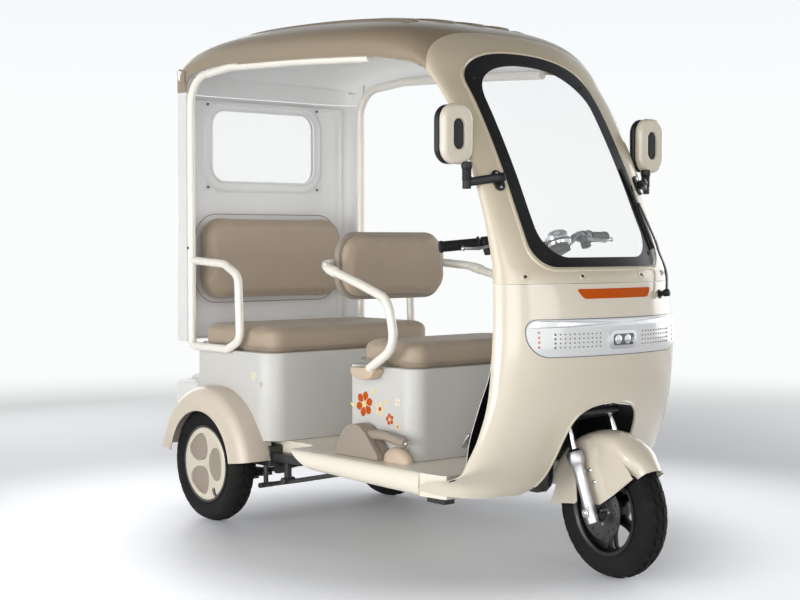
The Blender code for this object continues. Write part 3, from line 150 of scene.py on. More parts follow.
COWL_SCREWS_Y = (-0.302, -0.126, 0.126, 0.302)
COWL_SCREWS_Z = 0.8805
BORDER_SCREWS = ((-0.232, 1.462), (0.232, 1.462), (-0.222, 0.943), (0.222, 0.943), (-0.249, 1.20),
                 (0.249, 1.20))
WASHER_AT = (0.262, 0.8845)
RIBS = 5
RIB_STEP = 0.118
RIB_REAR = -0.035
LAMP_STRIP_LOW = 0.7385
MIRROR_AT = (1.262, 0.415, 1.282)
MIRROR_FOOT = (0.300, 1.151)
MIRROR_STALK = (1.285, 0.385, 1.146)
WIPER_FOOT = (0.212, 0.822)
PEDAL_AT = (1.115, -0.196)

# Seats, deck and tubes
DECK_TOP = 0.300
DECK_LOW = 0.255
WELL_END = 0.450
WELL_SLOPE = 1.9
KNEE_ROWS = ((1.186, DECK_TOP + 0.0005), (1.196, 0.345), (1.208, 0.400), (1.248, 0.500), (1.291, 0.600),
             (1.303, 0.700), (1.307, 0.845))


def knee_x(height):
    """Where the inner panel stands at a height."""
    level = min(max(height, KNEE_ROWS[0][1]), KNEE_ROWS[-1][1])
    for low, high in zip(KNEE_ROWS, KNEE_ROWS[1:]):
        if level <= high[1]:
            break
    return low[0] + (high[0] - low[0]) * (level - low[1]) / (high[1] - low[1])


# Seat boxes: rear, front, half width, low, high
BENCH = (-0.150, 0.295, 0.3712, DECK_TOP, 0.600)
DRIVER = (0.625, 0.950, 0.292, DECK_TOP, 0.586)
# Backrests: half width, low, high, corner
BENCH_BACK = (0.318, 0.760, 1.072, 0.085)
DRIVER_BACK = (0.228, 0.790, 1.004, 0.078)
DRIVER_BACK_SHELL = (0.234, 0.784, 1.010, 0.080)
RAIL_RADIUS = 0.0150
ARM_RADIUS = 0.0145
RAIL_Y = 0.3867
RAIL_REAR = -0.160
RAIL_LOW = 0.605
FENDER_INNER = REAR_TRACK / 2 - 0.0675
FENDER_OUTER = REAR_TRACK / 2 + 0.0635
FENDER_RADIUS = 0.262
TYRE_RADIUS = 0.203
BEAD_RADIUS = 0.128
CAP_RADIUS = 0.1292
VALVE_AT = math.radians(-57)

# Colours, linear
CREAM = (0.66, 0.595, 0.485)
# Roof tan, darker than the paint's own tan: painted shade for the roof's dim top.
ROOF_TAN_SHADED = (0.275, 0.217, 0.145)
PALE = (0.76, 0.76, 0.75)
PALE_WARM = (0.74, 0.73, 0.70)
IVORY = (0.84, 0.81, 0.73)
DECK_CREAM = (0.83, 0.77, 0.65)
LEATHER = (0.43, 0.345, 0.255)
LEATHER_DARK = (0.33, 0.255, 0.185)
TAUPE = (0.33, 0.275, 0.225)
SAND = (0.58, 0.46, 0.34)
FENDER_TAN = (0.62, 0.54, 0.445)
BLACK = (0.008, 0.008, 0.009)
STEEL_BLACK = (0.010, 0.010, 0.011)
RUBBER = (0.0065, 0.0065, 0.0065)
SILVER = (0.52, 0.52, 0.53)
ORANGE = (0.50, 0.082, 0.006)
LAMP_WHITE = (0.66, 0.665, 0.67)
COWL_LOWER = (0.615, 0.545, 0.42)
COWL_UPPER = (0.50, 0.415, 0.285)

SIDES = ((-1, "right"), (1, "left"))
FORK_Y = 0.084
BAR_TOP = 0.800
FRONT_DISC_Y = -0.046
FUSE = 0.00002


# Shared shader effects

FLOAT = "NodeSocketFloat"
COLOUR = "NodeSocketColor"
GREY = (0.5, 0.5, 0.5, 1)
DARK_GREY = (0.4, 0.4, 0.4, 1)
PALE_DUST = (0.42, 0.39, 0.34)
DARK_DUST = (0.30, 0.28, 0.25)
PAINT_DUST_TOP = 0.42
DUST_TOP = 0.45
COWL_BLEND = (0.95, 1.50)


def group(name, inputs, outputs):
    """An empty shader node group with named sockets."""
    tree = bpy.data.node_groups.new(name, "ShaderNodeTree")
    for label, kind, value in inputs:
        socket = tree.interface.new_socket(label, in_out="INPUT", socket_type=kind)
        socket.default_value = value
    for label, kind in outputs:
        tree.interface.new_socket(label, in_out="OUTPUT", socket_type=kind)
    return tree, tree.nodes.new("NodeGroupInput"), tree.nodes.new("NodeGroupOutput")


def feed(tree, socket, value):
    """Set a socket to a value, or link another socket to it."""
    if isinstance(value, (int, float, tuple)):
        socket.default_value = value
    else:
        tree.links.new(value, socket)


def object_place(tree):
    return tree.nodes.new("ShaderNodeTexCoord").outputs["Object"]


def height_in(tree, place):
    """The third coordinate of a place or a direction."""
    split = tree.nodes.new("ShaderNodeSeparateXYZ")
    tree.links.new(place, split.inputs["Vector"])
    return split.outputs["Z"]


def texture(tree, kind, scale, source, detail=None):
    """A texture node read at the given coordinates."""
    node = tree.nodes.new(kind)
    feed(tree, node.inputs["Scale"], scale)
    if detail is not None:
        node.inputs["Detail"].default_value = detail
    tree.links.new(source, node.inputs["Vector"])
    return node


def noise(tree, scale, source, detail):
    return texture(tree, "ShaderNodeTexNoise", scale, source, detail).outputs["Fac"]


def arithmetic(tree, operation, a, b=None, clamp=False):
    node = tree.nodes.new("ShaderNodeMath")
    node.operation = operation
    node.use_clamp = clamp
    for socket, value in zip(node.inputs, (a, b)):
        if value is not None:
            feed(tree, socket, value)
    return node.outputs[0]


def ranged(tree, value, smooth=False, **ends):
    """A value carried from one range (From_Min, From_Max) to another (To_Min, To_Max)."""
    node = tree.nodes.new("ShaderNodeMapRange")
    if smooth:
        node.interpolation_type = "SMOOTHSTEP"
    tree.links.new(value, node.inputs["Value"])
    for label, end in ends.items():
        feed(tree, node.inputs[label.replace("_", " ")], end)
    return node.outputs["Result"]


def mixed(tree, factor, a, b):
    """Two colours mixed by a factor."""
    node = tree.nodes.new("ShaderNodeMix")
    node.data_type = "RGBA"
    tree.links.new(factor, node.inputs["Factor"])
    feed(tree, node.inputs["A"], a)
    feed(tree, node.inputs["B"], b)
    return node.outputs["Result"]


def mottle_group():
    """A colour that drifts slightly between two tones."""
    tree, given, out = group("mottle", (("Colour", COLOUR, GREY), ("Second", COLOUR, DARK_GREY),
                                        ("Scale", FLOAT, 4.0), ("Amount", FLOAT, 0.5)),
                             (("Colour", COLOUR),))
    wide = noise(tree, given.outputs["Scale"], object_place(tree), 4.0)
    mask = arithmetic(tree, "MULTIPLY", wide, given.outputs["Amount"], True)
    tree.links.new(mixed(tree, mask, given.outputs["Colour"], given.outputs["Second"]), out.inputs["Colour"])
    return tree


def drift_group(name, scale, detail, wide_scale, wide_detail):
    """A fine ripple that gives the height, and a roughness that drifts between two ends."""
    tree, given, out = group(name, (("Scale", FLOAT, scale), ("Rough low", FLOAT, 0.15),
                                    ("Rough high", FLOAT, 0.25)), (("Height", FLOAT), ("Roughness", FLOAT)))
    place = object_place(tree)
    tree.links.new(noise(tree, given.outputs["Scale"], place, detail), out.inputs["Height"])
    drift = ranged(tree, noise(tree, wide_scale, place, wide_detail), From_Min=0.3, From_Max=0.7,
                   To_Min=given.outputs["Rough low"], To_Max=given.outputs["Rough high"])
    tree.links.new(drift, out.inputs["Roughness"])
    return tree


def grain_group():
    """Leather grain: pebbles divided by fine creases."""
    tree, given, out = group("leather_grain", (("Scale", FLOAT, 420.0), ("Crease", FLOAT, 0.5)),
                             (("Height", FLOAT), ("Mask", FLOAT)))
    place = object_place(tree)
    pebbles = texture(tree, "ShaderNodeTexVoronoi", given.outputs["Scale"], place)
    pebbles.feature = "DISTANCE_TO_EDGE"
    soft = noise(tree, 26.0, place, 5.0)
    pits = arithmetic(tree, "MINIMUM", arithmetic(tree, "MULTIPLY", pebbles.outputs["Distance"], 5.0), 1.0)
    folds = arithmetic(tree, "MULTIPLY", soft, given.outputs["Crease"])
    tree.links.new(arithmetic(tree, "ADD", pits, folds), out.inputs["Height"])
    tree.links.new(soft, out.inputs["Mask"])
    return tree


def dust_group():
    """Road dust that settles in clouds on the vehicle's low parts."""
    tree, given, out = group("road_dust", (("Top", FLOAT, 0.35), ("Amount", FLOAT, 0.5)), (("Mask", FLOAT),))
    place = object_place(tree)
    low = ranged(tree, height_in(tree, place), From_Min=given.outputs["Top"], From_Max=0.0)
    shaped = arithmetic(tree, "MULTIPLY", low, noise(tree, 14.0, place, 6.0))
    tree.links.new(arithmetic(tree, "MULTIPLY", shaped, given.outputs["Amount"], True), out.inputs["Mask"])
    return tree


def height_group():
    """Two tones that meet softly over a range of heights."""
    tree, given, out = group("height_blend", (("Lower", COLOUR, GREY), ("Upper", COLOUR, DARK_GREY),
                                              ("Low", FLOAT, 0.0), ("High", FLOAT, 1.0)),
                             (("Colour", COLOUR),))
    share = ranged(tree, height_in(tree, object_place(tree)), From_Min=given.outputs["Low"],
                   From_Max=given.outputs["High"])
    tree.links.new(mixed(tree, share, given.outputs["Lower"], given.outputs["Upper"]), out.inputs["Colour"])
    return tree


GROUPS = {"height_blend": height_group(), "mottle": mottle_group(),
          "peel": drift_group("orange_peel", 160.0, 1.5, 2.5, 1.0), "grain": grain_group(),
          "spark": drift_group("spark_texture", 900.0, 2.0, 9.0, 4.0), "dust": dust_group()}


def use(tree, name, **values):
    """Place a shared effect in a material with its own values."""
    node = tree.nodes.new("ShaderNodeGroup")
    node.node_tree = GROUPS[name]
    for label, value in values.items():
        node.inputs[label.replace("_", " ")].default_value = value
    return node


def bare_material(name):
    material = bpy.data.materials.new(name)
    material.use_nodes = True
    return material, material.node_tree, material.node_tree.nodes["Principled BSDF"]


def rgba(colour):
    return (*colour, 1.0)


def darker(colour, share=0.82):
    return tuple(c * share for c in colour)


def bump(tree, shader, height, distance, strength):
    node = tree.nodes.new("ShaderNodeBump")
    node.inputs["Distance"].default_value = distance
    node.inputs["Strength"].default_value = strength
    tree.links.new(height, node.inputs["Height"])
    tree.links.new(node.outputs["Normal"], shader.inputs["Normal"])


def dusted(tree, colour, dust_colour, top, amount):
    """A colour output with dust laid over it."""
    return mixed(tree, use(tree, "dust", Top=top, Amount=amount).outputs["Mask"], colour, rgba(dust_colour))


def dressed(made, tone, relief, dust, depth, strength, **settings):
    """Join tone, dust and relief to a new material's shader, and set what else the shader needs."""
    material, tree, shader = made
    dust_colour, top, amount = dust
    shown = tone.outputs["Colour"]
    if amount:
        shown = dusted(tree, shown, dust_colour, top, amount)
    tree.links.new(shown, shader.inputs["Base Color"])
    tree.links.new(relief.outputs["Roughness"], shader.inputs["Roughness"])
    for label, value in settings.items():
        shader.inputs[label.replace("_", " ")].default_value = value
    bump(tree, shader, relief.outputs["Height"], depth, strength)
    return material


def paint(name, colour, rough=(0.16, 0.24), coat=0.6, dust=0.0, upper=None, specular=0.5):
    """Glossy gel coat or sprayed paint, which may change to another tone with height."""
    made = bare_material(name)
    tree = made[1]
    tone = use(tree, "mottle", Colour=rgba(colour), Second=rgba(darker(colour, 0.965)), Scale=2.2, Amount=0.9)
    if upper:
        blend = use(tree, "height_blend", Low=COWL_BLEND[0], High=COWL_BLEND[1], Lower=rgba(colour),
                    Upper=rgba(upper))
        tree.links.new(blend.outputs["Colour"], tone.inputs["Colour"])
    peel = use(tree, "peel", Scale=150.0, Rough_low=rough[0], Rough_high=rough[1])
    return dressed(made, tone, peel, (PALE_DUST, PAINT_DUST_TOP, dust), 0.00008, 0.5,
                   Specular_IOR_Level=specular, Coat_Weight=coat, Coat_Roughness=0.06)


def plastic(name, colour, rough=(0.38, 0.5), depth=0.00006, dust=0.0, scale=900.0, specular=0.5):
    """Moulded plastic or rubber with a fine spark texture."""
    made = bare_material(name)
    tone = use(made[1], "mottle", Colour=rgba(colour), Second=rgba(darker(colour, 0.88)), Scale=5.0,
               Amount=0.8)
    spark = use(made[1], "spark", Scale=scale, Rough_low=rough[0], Rough_high=rough[1])
    return dressed(made, tone, spark, (DARK_DUST, DUST_TOP, dust), depth, 0.6, Specular_IOR_Level=specular)


def metal(name, colour, rough=(0.22, 0.34), dust=0.0):
    """Satin cast or plated metal."""
    made = bare_material(name)
    tone = use(made[1], "mottle", Colour=rgba(colour), Second=rgba(darker(colour, 0.8)), Scale=9.0,
               Amount=0.7)
    spark = use(made[1], "spark", Scale=600.0, Rough_low=rough[0], Rough_high=rough[1])
    return dressed(made, tone, spark, (DARK_DUST, DUST_TOP, dust), 0.00003, 0.4, Metallic=1.0)


def leather(name, colour, second):
    """Soft grained upholstery."""
    material, tree, shader = bare_material(name)
    tone = use(tree, "mottle", Colour=rgba(colour), Second=rgba(second), Scale=3.2, Amount=0.55)
    grain = use(tree, "grain", Scale=380.0, Crease=0.7)
    tree.links.new(tone.outputs["Colour"], shader.inputs["Base Color"])
    rough = ranged(tree, grain.outputs["Mask"], To_Min=0.48, To_Max=0.62)
    tree.links.new(rough, shader.inputs["Roughness"])
    shader.inputs["Sheen Weight"].default_value = 0.15
    bump(tree, shader, grain.outputs["Height"], 0.00035, 0.55)
    return material


def clear(name, tint, alpha):
    """Thin clear sheet that shows what lies behind it."""
    material, tree, shader = bare_material(name)
    peel = use(tree, "peel", Scale=30.0, Rough_low=0.02, Rough_high=0.05)
    shader.inputs["Base Color"].default_value = rgba(tint)
    tree.links.new(peel.outputs["Roughness"], shader.inputs["Roughness"])
    shader.inputs["Alpha"].default_value = alpha
    shader.inputs["IOR"].default_value = 1.45
    return material


LOOKS = {
    "cream": paint("cream gel coat", CREAM, (0.14, 0.22), 0.5, 0.08),
    "deck": paint("deck cream", DECK_CREAM, (0.26, 0.32), 0.3, 0.10),
    "cowl": paint("cowl gel coat", COWL_LOWER, (0.20, 0.30), 0.45, upper=COWL_UPPER),
    # Roof tan, darkened as painted shade for the roof's dim top.
    "tan": paint("tan gel coat", ROOF_TAN_SHADED, (0.30, 0.42), 0.2),
    "fender": paint("fender tan", FENDER_TAN, (0.34, 0.40), 0.18, 0.10),
    "pale": plastic("pale grey moulding", PALE, (0.34, 0.46)),
    "lining": plastic("pale lining", PALE_WARM, (0.40, 0.52)),
    "box": plastic("pale box", (0.60, 0.593, 0.565), (0.36, 0.46)),
    "wall": plastic("white lining", (0.88, 0.885, 0.88), (0.34, 0.44)),
    "ivory": paint("ivory powder coat", IVORY, (0.20, 0.30), 0.5),
    "leather": leather("taupe leather", LEATHER, LEATHER_DARK),
    "seam": plastic("seam thread", darker(LEATHER, 0.72), (0.6, 0.7)),
    "taupe": plastic("taupe plastic", TAUPE, (0.40, 0.52)),
    "sand": plastic("sand plastic", SAND, (0.36, 0.48)),
    "black": plastic("black plastic", BLACK, (0.34, 0.46), 0.00005, specular=0.35),
    "gloss_black": paint("gloss black border", BLACK, (0.24, 0.34), 0.0, specular=0.35),
    "rubber": plastic("tyre rubber", RUBBER, (0.62, 0.78), 0.00016, 0.05, 500.0, 0.14),
    "grip": plastic("grip rubber", RUBBER, (0.55, 0.68), 0.00012, specular=0.3),
    "steel": paint("black steel paint", STEEL_BLACK, (0.32, 0.46), 0.1, 0.16),
    "silver": metal("silver metal", SILVER, (0.30, 0.42), 0.2),
    "satin": metal("satin strip", (0.78, 0.79, 0.80), (0.30, 0.42), 0.1),
    "chrome": metal("chrome plate", (0.80, 0.80, 0.81), (0.05, 0.10)),
    "glass": clear("clear sheet", (0.92, 0.95, 0.97), 0.10),
    "reflector": metal("lamp reflector", (0.86, 0.87, 0.88), (0.10, 0.18)),
    "lamp_white": paint("lamp panel white", LAMP_WHITE, (0.16, 0.24), 0.6),
    "dark_lens": paint("dark lens", (0.06, 0.065, 0.07), (0.03, 0.08), 1.0),
    "dark_metal": metal("dark metal", (0.10, 0.10, 0.105), (0.30, 0.42), 0.2),
    "black_cast": metal("black cast wheel", (0.030, 0.030, 0.032), (0.30, 0.42), 0.35),
    "dot": plastic("dot grey", (0.16, 0.17, 0.19), (0.3, 0.4)),
    "red": paint("red lens", (0.46, 0.012, 0.012), (0.06, 0.12), 1.0),
    "amber": paint("amber dot", (0.62, 0.13, 0.03), (0.2, 0.3), 0.5),
    "orange": paint("orange band", ORANGE, (0.55, 0.65), 0.0, specular=0.06),
    "mirror": metal("mirror glass", (0.90, 0.91, 0.92), (0.01, 0.02)),
    "blossom": paint("cream blossom", (0.80, 0.74, 0.62), (0.25, 0.35), 0.4),
    "petal_cream": paint("cream petal", (0.74, 0.62, 0.40), (0.30, 0.40), 0.1),
    "petal_yellow": paint("yellow petal", (0.78, 0.62, 0.26), (0.25, 0.35), 0.4),
}


# Making pieces

def baked(name, bm):
    """A working mesh turned into mesh data."""
    mesh = bpy.data.meshes.new(name)
    bm.to_mesh(mesh)
    bm.free()
    return mesh


def opened(mesh):
    """Mesh data opened again as a working mesh."""
    bm = bmesh.new()
    bm.from_mesh(mesh)
    return bm


def linked(name, data):
    obj = bpy.data.objects.new(name, data)
    bpy.context.scene.collection.objects.link(obj)
    return obj


def piece(name, bm, look, body="chassis", replaces=(), at=BODY_AT, sharp=38.0, merge=True):
    """Put a finished mesh in the scene, in place, riding on its body."""
    if merge:
        bmesh.ops.remove_doubles(bm, verts=bm.verts, dist=FUSE)
    bmesh.ops.recalc_face_normals(bm, faces=bm.faces)
    bmesh.ops.transform(bm, matrix=at, verts=bm.verts)
    limit = math.radians(sharp)
    for face in bm.faces:
        face.smooth = True
    for edge in bm.edges:
        edge.smooth = len(edge.link_faces) == 2 and edge.calc_face_angle(0.0) < limit
    obj = linked(name, baked(name, bm))
    obj.data.materials.append(LOOKS[look])
    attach(obj, body)
    if replaces:
        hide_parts(*replaces)
    return obj


def steered(name, bm, look, replaces=(), sharp=38.0):
    """A piece that turns with the steering, drawn on the raked head."""
    return piece(name, bm, look, "steering", replaces, HEAD_AT, sharp)


def finish_node(name, look):
    """Give a kept solid its better material."""
    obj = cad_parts[name]
    for k in range(len(obj.material_slots)):
        obj.material_slots[k].material = LOOKS[look]


def join(bm, other):
    """Add one mesh to another."""
    mesh = baked("joining", other)
    bm.from_mesh(mesh)
    bpy.data.meshes.remove(mesh)
    return bm


def joined(*shapes):
    bm = shapes[0]
    for shape in shapes[1:]:
        join(bm, shape)
    return bm


def moved(bm, matrix):
    bmesh.ops.transform(bm, matrix=matrix, verts=bm.verts)
    return bm


def shifted(bm, place):
    return moved(bm, Matrix.Translation(place))


def facing(direction):
    """The turn that points a part's own z axis along a direction."""
    return direction.to_track_quat("Z", "Y").to_matrix().to_4x4()


def grid(columns, rows, size=1.0):
    """A flat grid, from -1 to 1 both ways unless a size is given."""
    bm = bmesh.new()
    bmesh.ops.create_grid(bm, x_segments=columns, y_segments=rows, size=size)
    return bm


def bevel(bm, edges, width, segments, clamp=False):
    bmesh.ops.bevel(bm, geom=edges, offset=width, segments=segments, profile=0.5, affect="EDGES", material=-1,
                    clamp_overlap=clamp)


def rounded(bm, width, segments=3, angle=35.0):
    """Round the sharp edges of a closed mesh."""
    bmesh.ops.remove_doubles(bm, verts=bm.verts, dist=FUSE)
    bmesh.ops.recalc_face_normals(bm, faces=bm.faces)
    sharp = [e for e in bm.edges if len(e.link_faces) == 2 and e.calc_face_angle(0) > math.radians(angle)]
    bevel(bm, sharp, width, segments, True)
    return bm


def block(low, high, corner=0.003, segments=3):
    """A rectangular block with rounded edges."""
    low, high = Vector(low), Vector(high)
    bm = bmesh.new()
    bmesh.ops.create_cube(bm, size=1.0)
    size = high - low
    bmesh.ops.scale(bm, vec=size, verts=bm.verts)
    bmesh.ops.translate(bm, vec=(low + high) / 2, verts=bm.verts)
    return rounded(bm, min(corner, min(size) * 0.45), segments)


def bar(start, end, radius, end_radius=None, sides=32, corner=0.0):
    """A round bar between two points, its ends broken by a small radius."""
    start, end = Vector(start), Vector(end)
    bm = bmesh.new()
    bmesh.ops.create_cone(bm, cap_ends=True, segments=sides, radius1=radius,
                          radius2=radius if end_radius is None else end_radius, depth=(end - start).length)
    moved(bm, Matrix.Translation((start + end) / 2) @ facing(end - start))
    return rounded(bm, corner, 3, 50.0) if corner else bm


def ball(place, radius, scale=(1, 1, 1)):
    bm = bmesh.new()
    bmesh.ops.create_uvsphere(bm, u_segments=24, v_segments=14, radius=radius)
    bmesh.ops.scale(bm, vec=scale, verts=bm.verts)
    bmesh.ops.translate(bm, vec=place, verts=bm.verts)
    return bm


def bent(corners, radius, steps=8):
    """A route with each inner corner turned into an arc."""
    corners = [Vector(p) for p in corners]
    route = [corners[0]]
    for before, corner, after in zip(corners, corners[1:], corners[2:]):
        into = (corner - before).normalized()
        away = (after - corner).normalized()
        angle = into.angle(away)
        if angle < 1e-3:
            continue
        reach = min(radius * math.tan(angle / 2),
                    0.48 * min((corner - before).length, (after - corner).length))
        bend = reach / math.tan(angle / 2)
        normal = into.cross(away).normalized()
        centre = corner - into * reach + normal.cross(into) * bend
        spoke = (corner - into * reach) - centre
        for i in range(steps + 1):
            route.append(centre + Matrix.Rotation(angle * i / steps, 3, normal) @ spoke)
    route.append(corners[-1])
    return route


def smooth_route(points, between=6):
    """A soft curve through given points."""
    rows = [tuple(p) for p in points]
    return [Vector(p) for p in spline(rows, between)]


def spline(rows, between):
    """Rows of numbers run through a smooth curve, with extra rows between."""
    out = []
    last = len(rows) - 1
    for i in range(last):
        a, b, c, d = rows[max(i - 1, 0)], rows[i], rows[i + 1], rows[min(i + 2, last)]
        for k in range(between):
            t = k / between
            out.append(tuple(0.5 * (2 * q + (r - p) * t + (2 * p - 5 * q + 4 * r - s) * t * t
                                    + (3 * q - p - 3 * r + s) * t ** 3) for p, q, r, s in zip(a, b, c, d)))
    out.append(tuple(rows[last]))
    return out


def directions(route, closed=False):
    """Unit directions along a route."""
    count = len(route)
    out = []
    for i in range(count):
        if closed:
            ahead = route[(i + 1) % count] - route[i - 1]
        else:
            ahead = route[min(i + 1, count - 1)] - route[max(i - 1, 0)]
        out.append(ahead.normalized())
    return out


def swept(route, outline, closed=False, up=None, scale=None):
    """An outline of (side, up) points carried along a route by extruding it.

    up may give a direction for every point of the route, so that a trim follows its face.
    """
    route = [Vector(p) for p in route]
    ahead = directions(route, closed)
    side = None
    frames = []
    for i, point in enumerate(route):
        if up is not None:
            high = Vector(up[i]) if not isinstance(up, Vector) else up
            side = ahead[i].cross(high).normalized()
        else:
            side = (ahead[i].orthogonal() if side is None else side)
            side = (side - ahead[i] * side.dot(ahead[i])).normalized()
        frames.append((point, side, side.cross(ahead[i]).normalized()))
    bm = bmesh.new()
    first = [bm.verts.new((a, b, 0)) for a, b in outline]
    count = len(first)
    edges = [bm.edges.new((first[k], first[(k + 1) % count])) for k in range(count)]

    def place(verts, number):
        point, side, high = frames[number]
        grow = 1.0 if scale is None else scale[number]
        for vert, (a, b) in zip(verts, outline):
            vert.co = point + (side * a + high * b) * grow

    place(first, 0)
    ring, loops = first, [first]
    for i in range(1, len(route)):
        grown = bmesh.ops.extrude_edge_only(bm, edges=edges)
        fresh = {v for v in grown["geom"] if isinstance(v, bmesh.types.BMVert)}
        fresh_edges = [e for e in grown["geom"] if isinstance(e, bmesh.types.BMEdge)
                       and e.verts[0] in fresh and e.verts[1] in fresh]
        after = []
        for vert in ring:
            after.append(next(e.other_vert(vert) for e in vert.link_edges if e.other_vert(vert) in fresh))
        edges, ring = fresh_edges, after
        loops.append(ring)
        place(ring, i)
    if closed:
        start = [e for e in bm.edges if e.verts[0] in first and e.verts[1] in first]
        bmesh.ops.bridge_loops(bm, edges=start + edges)
    else:
        bmesh.ops.contextual_create(bm, geom=first)
        bmesh.ops.contextual_create(bm, geom=ring)
    return bm


def circle(radius, sides=20):
    return [(radius * math.cos(2 * math.pi * k / sides), radius * math.sin(2 * math.pi * k / sides))
            for k in range(sides)]


def tube(route, radius, sides=20, closed=False):
    """A round tube along a route, its ends closed."""
    return swept(route, circle(radius, sides), closed)


def spun(profile, steps=96, closed=True, axis="Y"):
    """A ring or disc spun from (radius, along) points."""
    bm = bmesh.new()
    verts = [bm.verts.new((radius, 0, along)) for radius, along in profile]
    edges = [bm.edges.new(pair) for pair in zip(verts, verts[1:])]
    if closed and profile[0][0] > 1e-6 and profile[-1][0] > 1e-6:
        edges.append(bm.edges.new((verts[-1], verts[0])))
    bmesh.ops.spin(bm, geom=verts + edges, cent=(0, 0, 0), axis=(0, 0, 1), angle=2 * math.pi, steps=steps,
                   use_merge=True)
    bmesh.ops.remove_doubles(bm, verts=bm.verts, dist=1e-6)
    if axis == "Y":
        moved(bm, Matrix.Rotation(-math.pi / 2, 4, "X"))
    bmesh.ops.recalc_face_normals(bm, faces=bm.faces)
    return bm


def turned(profile, steps):
    """A part turned about its own z axis."""
    return spun(profile, steps, True, "Z")


def arcs(corners, steps):
    """Quarter circles joined in turn, each given by its centre, radius and first angle in degrees."""
    out = []
    for across, up, radius, first in corners:
        for i in range(steps + 1):
            a = math.radians(first + 90 * i / steps)
            out.append((across + radius * math.cos(a), up + radius * math.sin(a)))
    return out


def rounded_rect(half, low, high, corner, steps=10):
    """A rounded rectangle, even about zero, as (across, up) points."""
    return arcs(((half - corner, low + corner, corner, -90), (half - corner, high - corner, corner, 0),
                 (corner - half, high - corner, corner, 90), (corner - half, low + corner, corner, 180)),
                steps)


def both_halves(right, middle=0.0):
    """A closed outline from its right half, run upwards."""
    return right + [(-y, z) for y, z in reversed(right) if y > middle + 1e-6]


def even(outline, spacing):
    """A closed outline read again at even steps."""
    points = [Vector((*p, 0)[:3]) for p in outline]
    lengths = [0.0]
    for a, b in zip(points, points[1:] + points[:1]):
        lengths.append(lengths[-1] + (b - a).length)
    count = max(8, round(lengths[-1] / spacing))
    loop = points + points[:1]
    out, k = [], 0
    for i in range(count):
        want = lengths[-1] * i / count
        while lengths[k + 1] < want:
            k += 1
        t = (want - lengths[k]) / max(lengths[k + 1] - lengths[k], 1e-9)
        out.append(tuple(loop[k].lerp(loop[k + 1], t))[:2])
    return out


def plate(outline, place, direction, corner=0.0, segments=3):
    """A closed plate: an outline put in space by place, pushed along, its rims rounded."""
    bm = bmesh.new()
    face = bm.faces.new([bm.verts.new(place(*p)) for p in outline])
    grown = bmesh.ops.extrude_face_region(bm, geom=[face])
    bmesh.ops.translate(bm, vec=direction,
                        verts=[v for v in grown["geom"] if isinstance(v, bmesh.types.BMVert)])
    return rounded(bm, corner, segments, 60.0) if corner else bm


# The cab's face, as one dense surface

DENSE = spline(CAB, ROWS_BETWEEN)


def cab_point(row, across):
    """A point of the cab: row counts stations from the front edge, across runs from -1 to 1."""
    place = min(max(row, 0.0), len(CAB) - 1.0) * ROWS_BETWEEN
    low = min(int(place), len(DENSE) - 2)
    t = place - low
    edge_x, edge_z, half, centre_x, centre_z, power = (
        a + (b - a) * t for a, b in zip(DENSE[low], DENSE[low + 1]))
    a = math.pi / 2 * across
    y = half * math.copysign(abs(math.sin(a)) ** (2 / power), math.sin(a))
    k = max(0.0, math.cos(a)) ** (2 / power)
    return Vector((edge_x + (centre_x - edge_x) * k, y, edge_z + (centre_z - edge_z) * k))


def cab_sheet(first, last, rows=None, columns=COLUMNS, gap_low=0.0, gap_high=0.0):
    """A sheet of the cab between two stations, from a plain grid."""
    rows = rows or (last - first) * ROWS_BETWEEN
    bm = grid(columns, rows)
    start, stop = first + gap_low, last - gap_high
    for vert in bm.verts:
        vert.co = cab_point(start + (stop - start) * (vert.co.y + 1) / 2, vert.co.x)
    bmesh.ops.remove_doubles(bm, verts=bm.verts, dist=FUSE)
    return bm


def outward(bm, probe):
    """Turn a sheet so that its faces look towards a point outside it."""
    bmesh.ops.recalc_face_normals(bm, faces=bm.faces)
    votes = sum(f.normal.dot(Vector(probe) - f.calc_center_median()) > 0 for f in bm.faces)
    if votes * 2 < len(bm.faces):
        bmesh.ops.reverse_faces(bm, faces=bm.faces)
    return bm


def walled(bm, thickness, probe):
    """Give a sheet its wall, grown inwards from its outer face."""
    outward(bm, probe)
    bm.normal_update()
    grown = bmesh.ops.extrude_face_region(bm, geom=list(bm.faces), use_keep_orig=True)
    fresh = [v for v in grown["geom"] if isinstance(v, bmesh.types.BMVert)]
    for vert, normal in [(v, v.normal.copy()) for v in fresh]:
        vert.co -= normal * thickness
    bmesh.ops.recalc_face_normals(bm, faces=bm.faces)
    return bm


def tree_of(bm):
    bm.normal_update()
    return BVHTree.FromBMesh(bm)


FRONT_SHEET = cab_sheet(0, COWL_END + 1)
FRONT_TREE = tree_of(outward(FRONT_SHEET, (4, 0, 1)))
ROOF_SHEET = cab_sheet(SHELL_END, ROOF_END)
ROOF_TREE = tree_of(outward(ROOF_SHEET, (0.4, 0, 5)))


def on_front(y, z, lift=0.0):
    """The cab's front face at a distance off centre and a height, with its outward direction."""
    hit, normal, _, _ = FRONT_TREE.ray_cast(Vector((2.5, y, z)), Vector((-1, 0, 0)))
    if hit is None:
        hit, normal, _, _ = FRONT_TREE.find_nearest(Vector((1.4, y, z)))
    if normal.x < 0:
        normal = -normal
    return hit + normal * lift, normal


def on_roof(x, y, lift=0.0):
    """The roof's outer face over a point, with its outward direction."""
    hit, normal, _, _ = ROOF_TREE.ray_cast(Vector((x, y, 3.0)), Vector((0, 0, -1)))
    if hit is None:
        hit, normal, _, _ = ROOF_TREE.find_nearest(Vector((x, y, 1.6)))
    if normal.z < 0:
        normal = -normal
    return hit + normal * lift, normal


def cutter(outline, place, direction):
    """A closed prism that a wall is cut with."""
    bm = plate(outline, place, direction)
    bmesh.ops.recalc_face_normals(bm, faces=bm.faces)
    return bm


